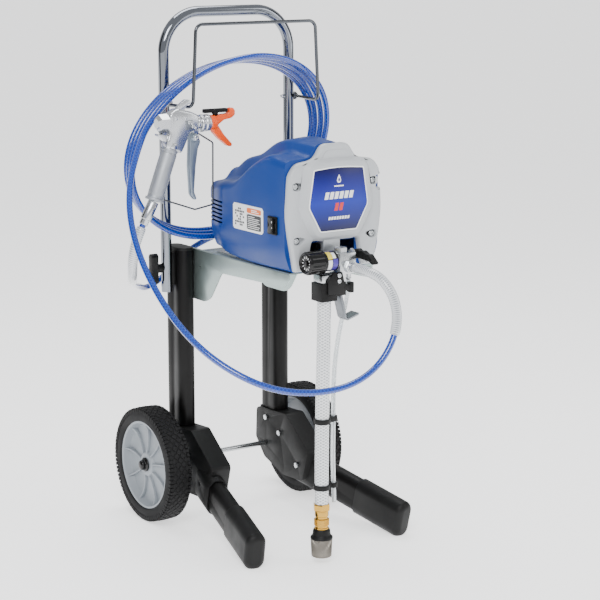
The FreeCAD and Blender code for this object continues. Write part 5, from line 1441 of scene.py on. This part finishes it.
class SPRAYER_OT_housing(bpy.types.Operator):
    """Make the blue housing and its switch"""

    bl_idname = "sprayer.housing"
    bl_label = "Housing"

    def execute(self, context):
        make_housing()
        make_switch()
        return {"FINISHED"}


class SPRAYER_OT_cover(bpy.types.Operator):
    """Make the grey front cover and the labels"""

    bl_idname = "sprayer.cover"
    bl_label = "Cover and labels"

    def execute(self, context):
        make_cover()
        make_labels()
        return {"FINISHED"}


class SPRAYER_OT_gun(bpy.types.Operator):
    """Make the spray gun, its trigger, its guard and its tip"""

    bl_idname = "sprayer.gun"
    bl_label = "Spray gun"

    def execute(self, context):
        make_gun_body()
        make_gun_grip()
        make_trigger()
        make_tip()
        return {"FINISHED"}


class SPRAYER_OT_fluid(bpy.types.Operator):
    """Make the pressure knob, the fittings, the priming lever and the pail hook"""

    bl_idname = "sprayer.fluid"
    bl_label = "Fluid section"

    def execute(self, context):
        make_pressure_knob()
        make_fittings()
        make_lever()
        make_holder()
        return {"FINISHED"}


class SPRAYER_OT_plain(bpy.types.Operator):
    """Round the corners of the remaining pieces and give them their finishes"""

    bl_idname = "sprayer.plain"
    bl_label = "Remaining pieces"

    def execute(self, context):
        make_plain()
        return {"FINISHED"}


OPERATORS = (SPRAYER_OT_finishes, SPRAYER_OT_studio, SPRAYER_OT_paint_hose, SPRAYER_OT_suction_set,
             SPRAYER_OT_wheels, SPRAYER_OT_housing, SPRAYER_OT_cover, SPRAYER_OT_gun, SPRAYER_OT_fluid,
             SPRAYER_OT_plain)


class SPRAYER_PT_panel(bpy.types.Panel):
    """The sprayer's settings and making steps"""

    bl_idname = "SPRAYER_PT_panel"
    bl_label = "Paint sprayer"
    bl_space_type = "VIEW_3D"
    bl_region_type = "UI"
    bl_category = "Sprayer"

    def draw(self, context):
        dressing = context.scene.sprayer_dressing
        for name in dressing.bl_rna.properties.keys():
            if name not in ("rna_type", "name"):
                self.layout.prop(dressing, name)
        for operator in OPERATORS:
            self.layout.operator(operator.bl_idname)


CLASSES = (SprayerDressing, *OPERATORS, SPRAYER_PT_panel)


def register():
    for item in CLASSES:
        bpy.utils.register_class(item)
    bpy.types.Scene.sprayer_dressing = PointerProperty(type=SprayerDressing)


def unregister():
    del bpy.types.Scene.sprayer_dressing
    for item in reversed(CLASSES):
        bpy.utils.unregister_class(item)


def main():
    register()
    for operator in OPERATORS:
        group, name = operator.bl_idname.split(".")
        getattr(getattr(bpy.ops, group), name)()


if __name__ == "__main__":
    main()
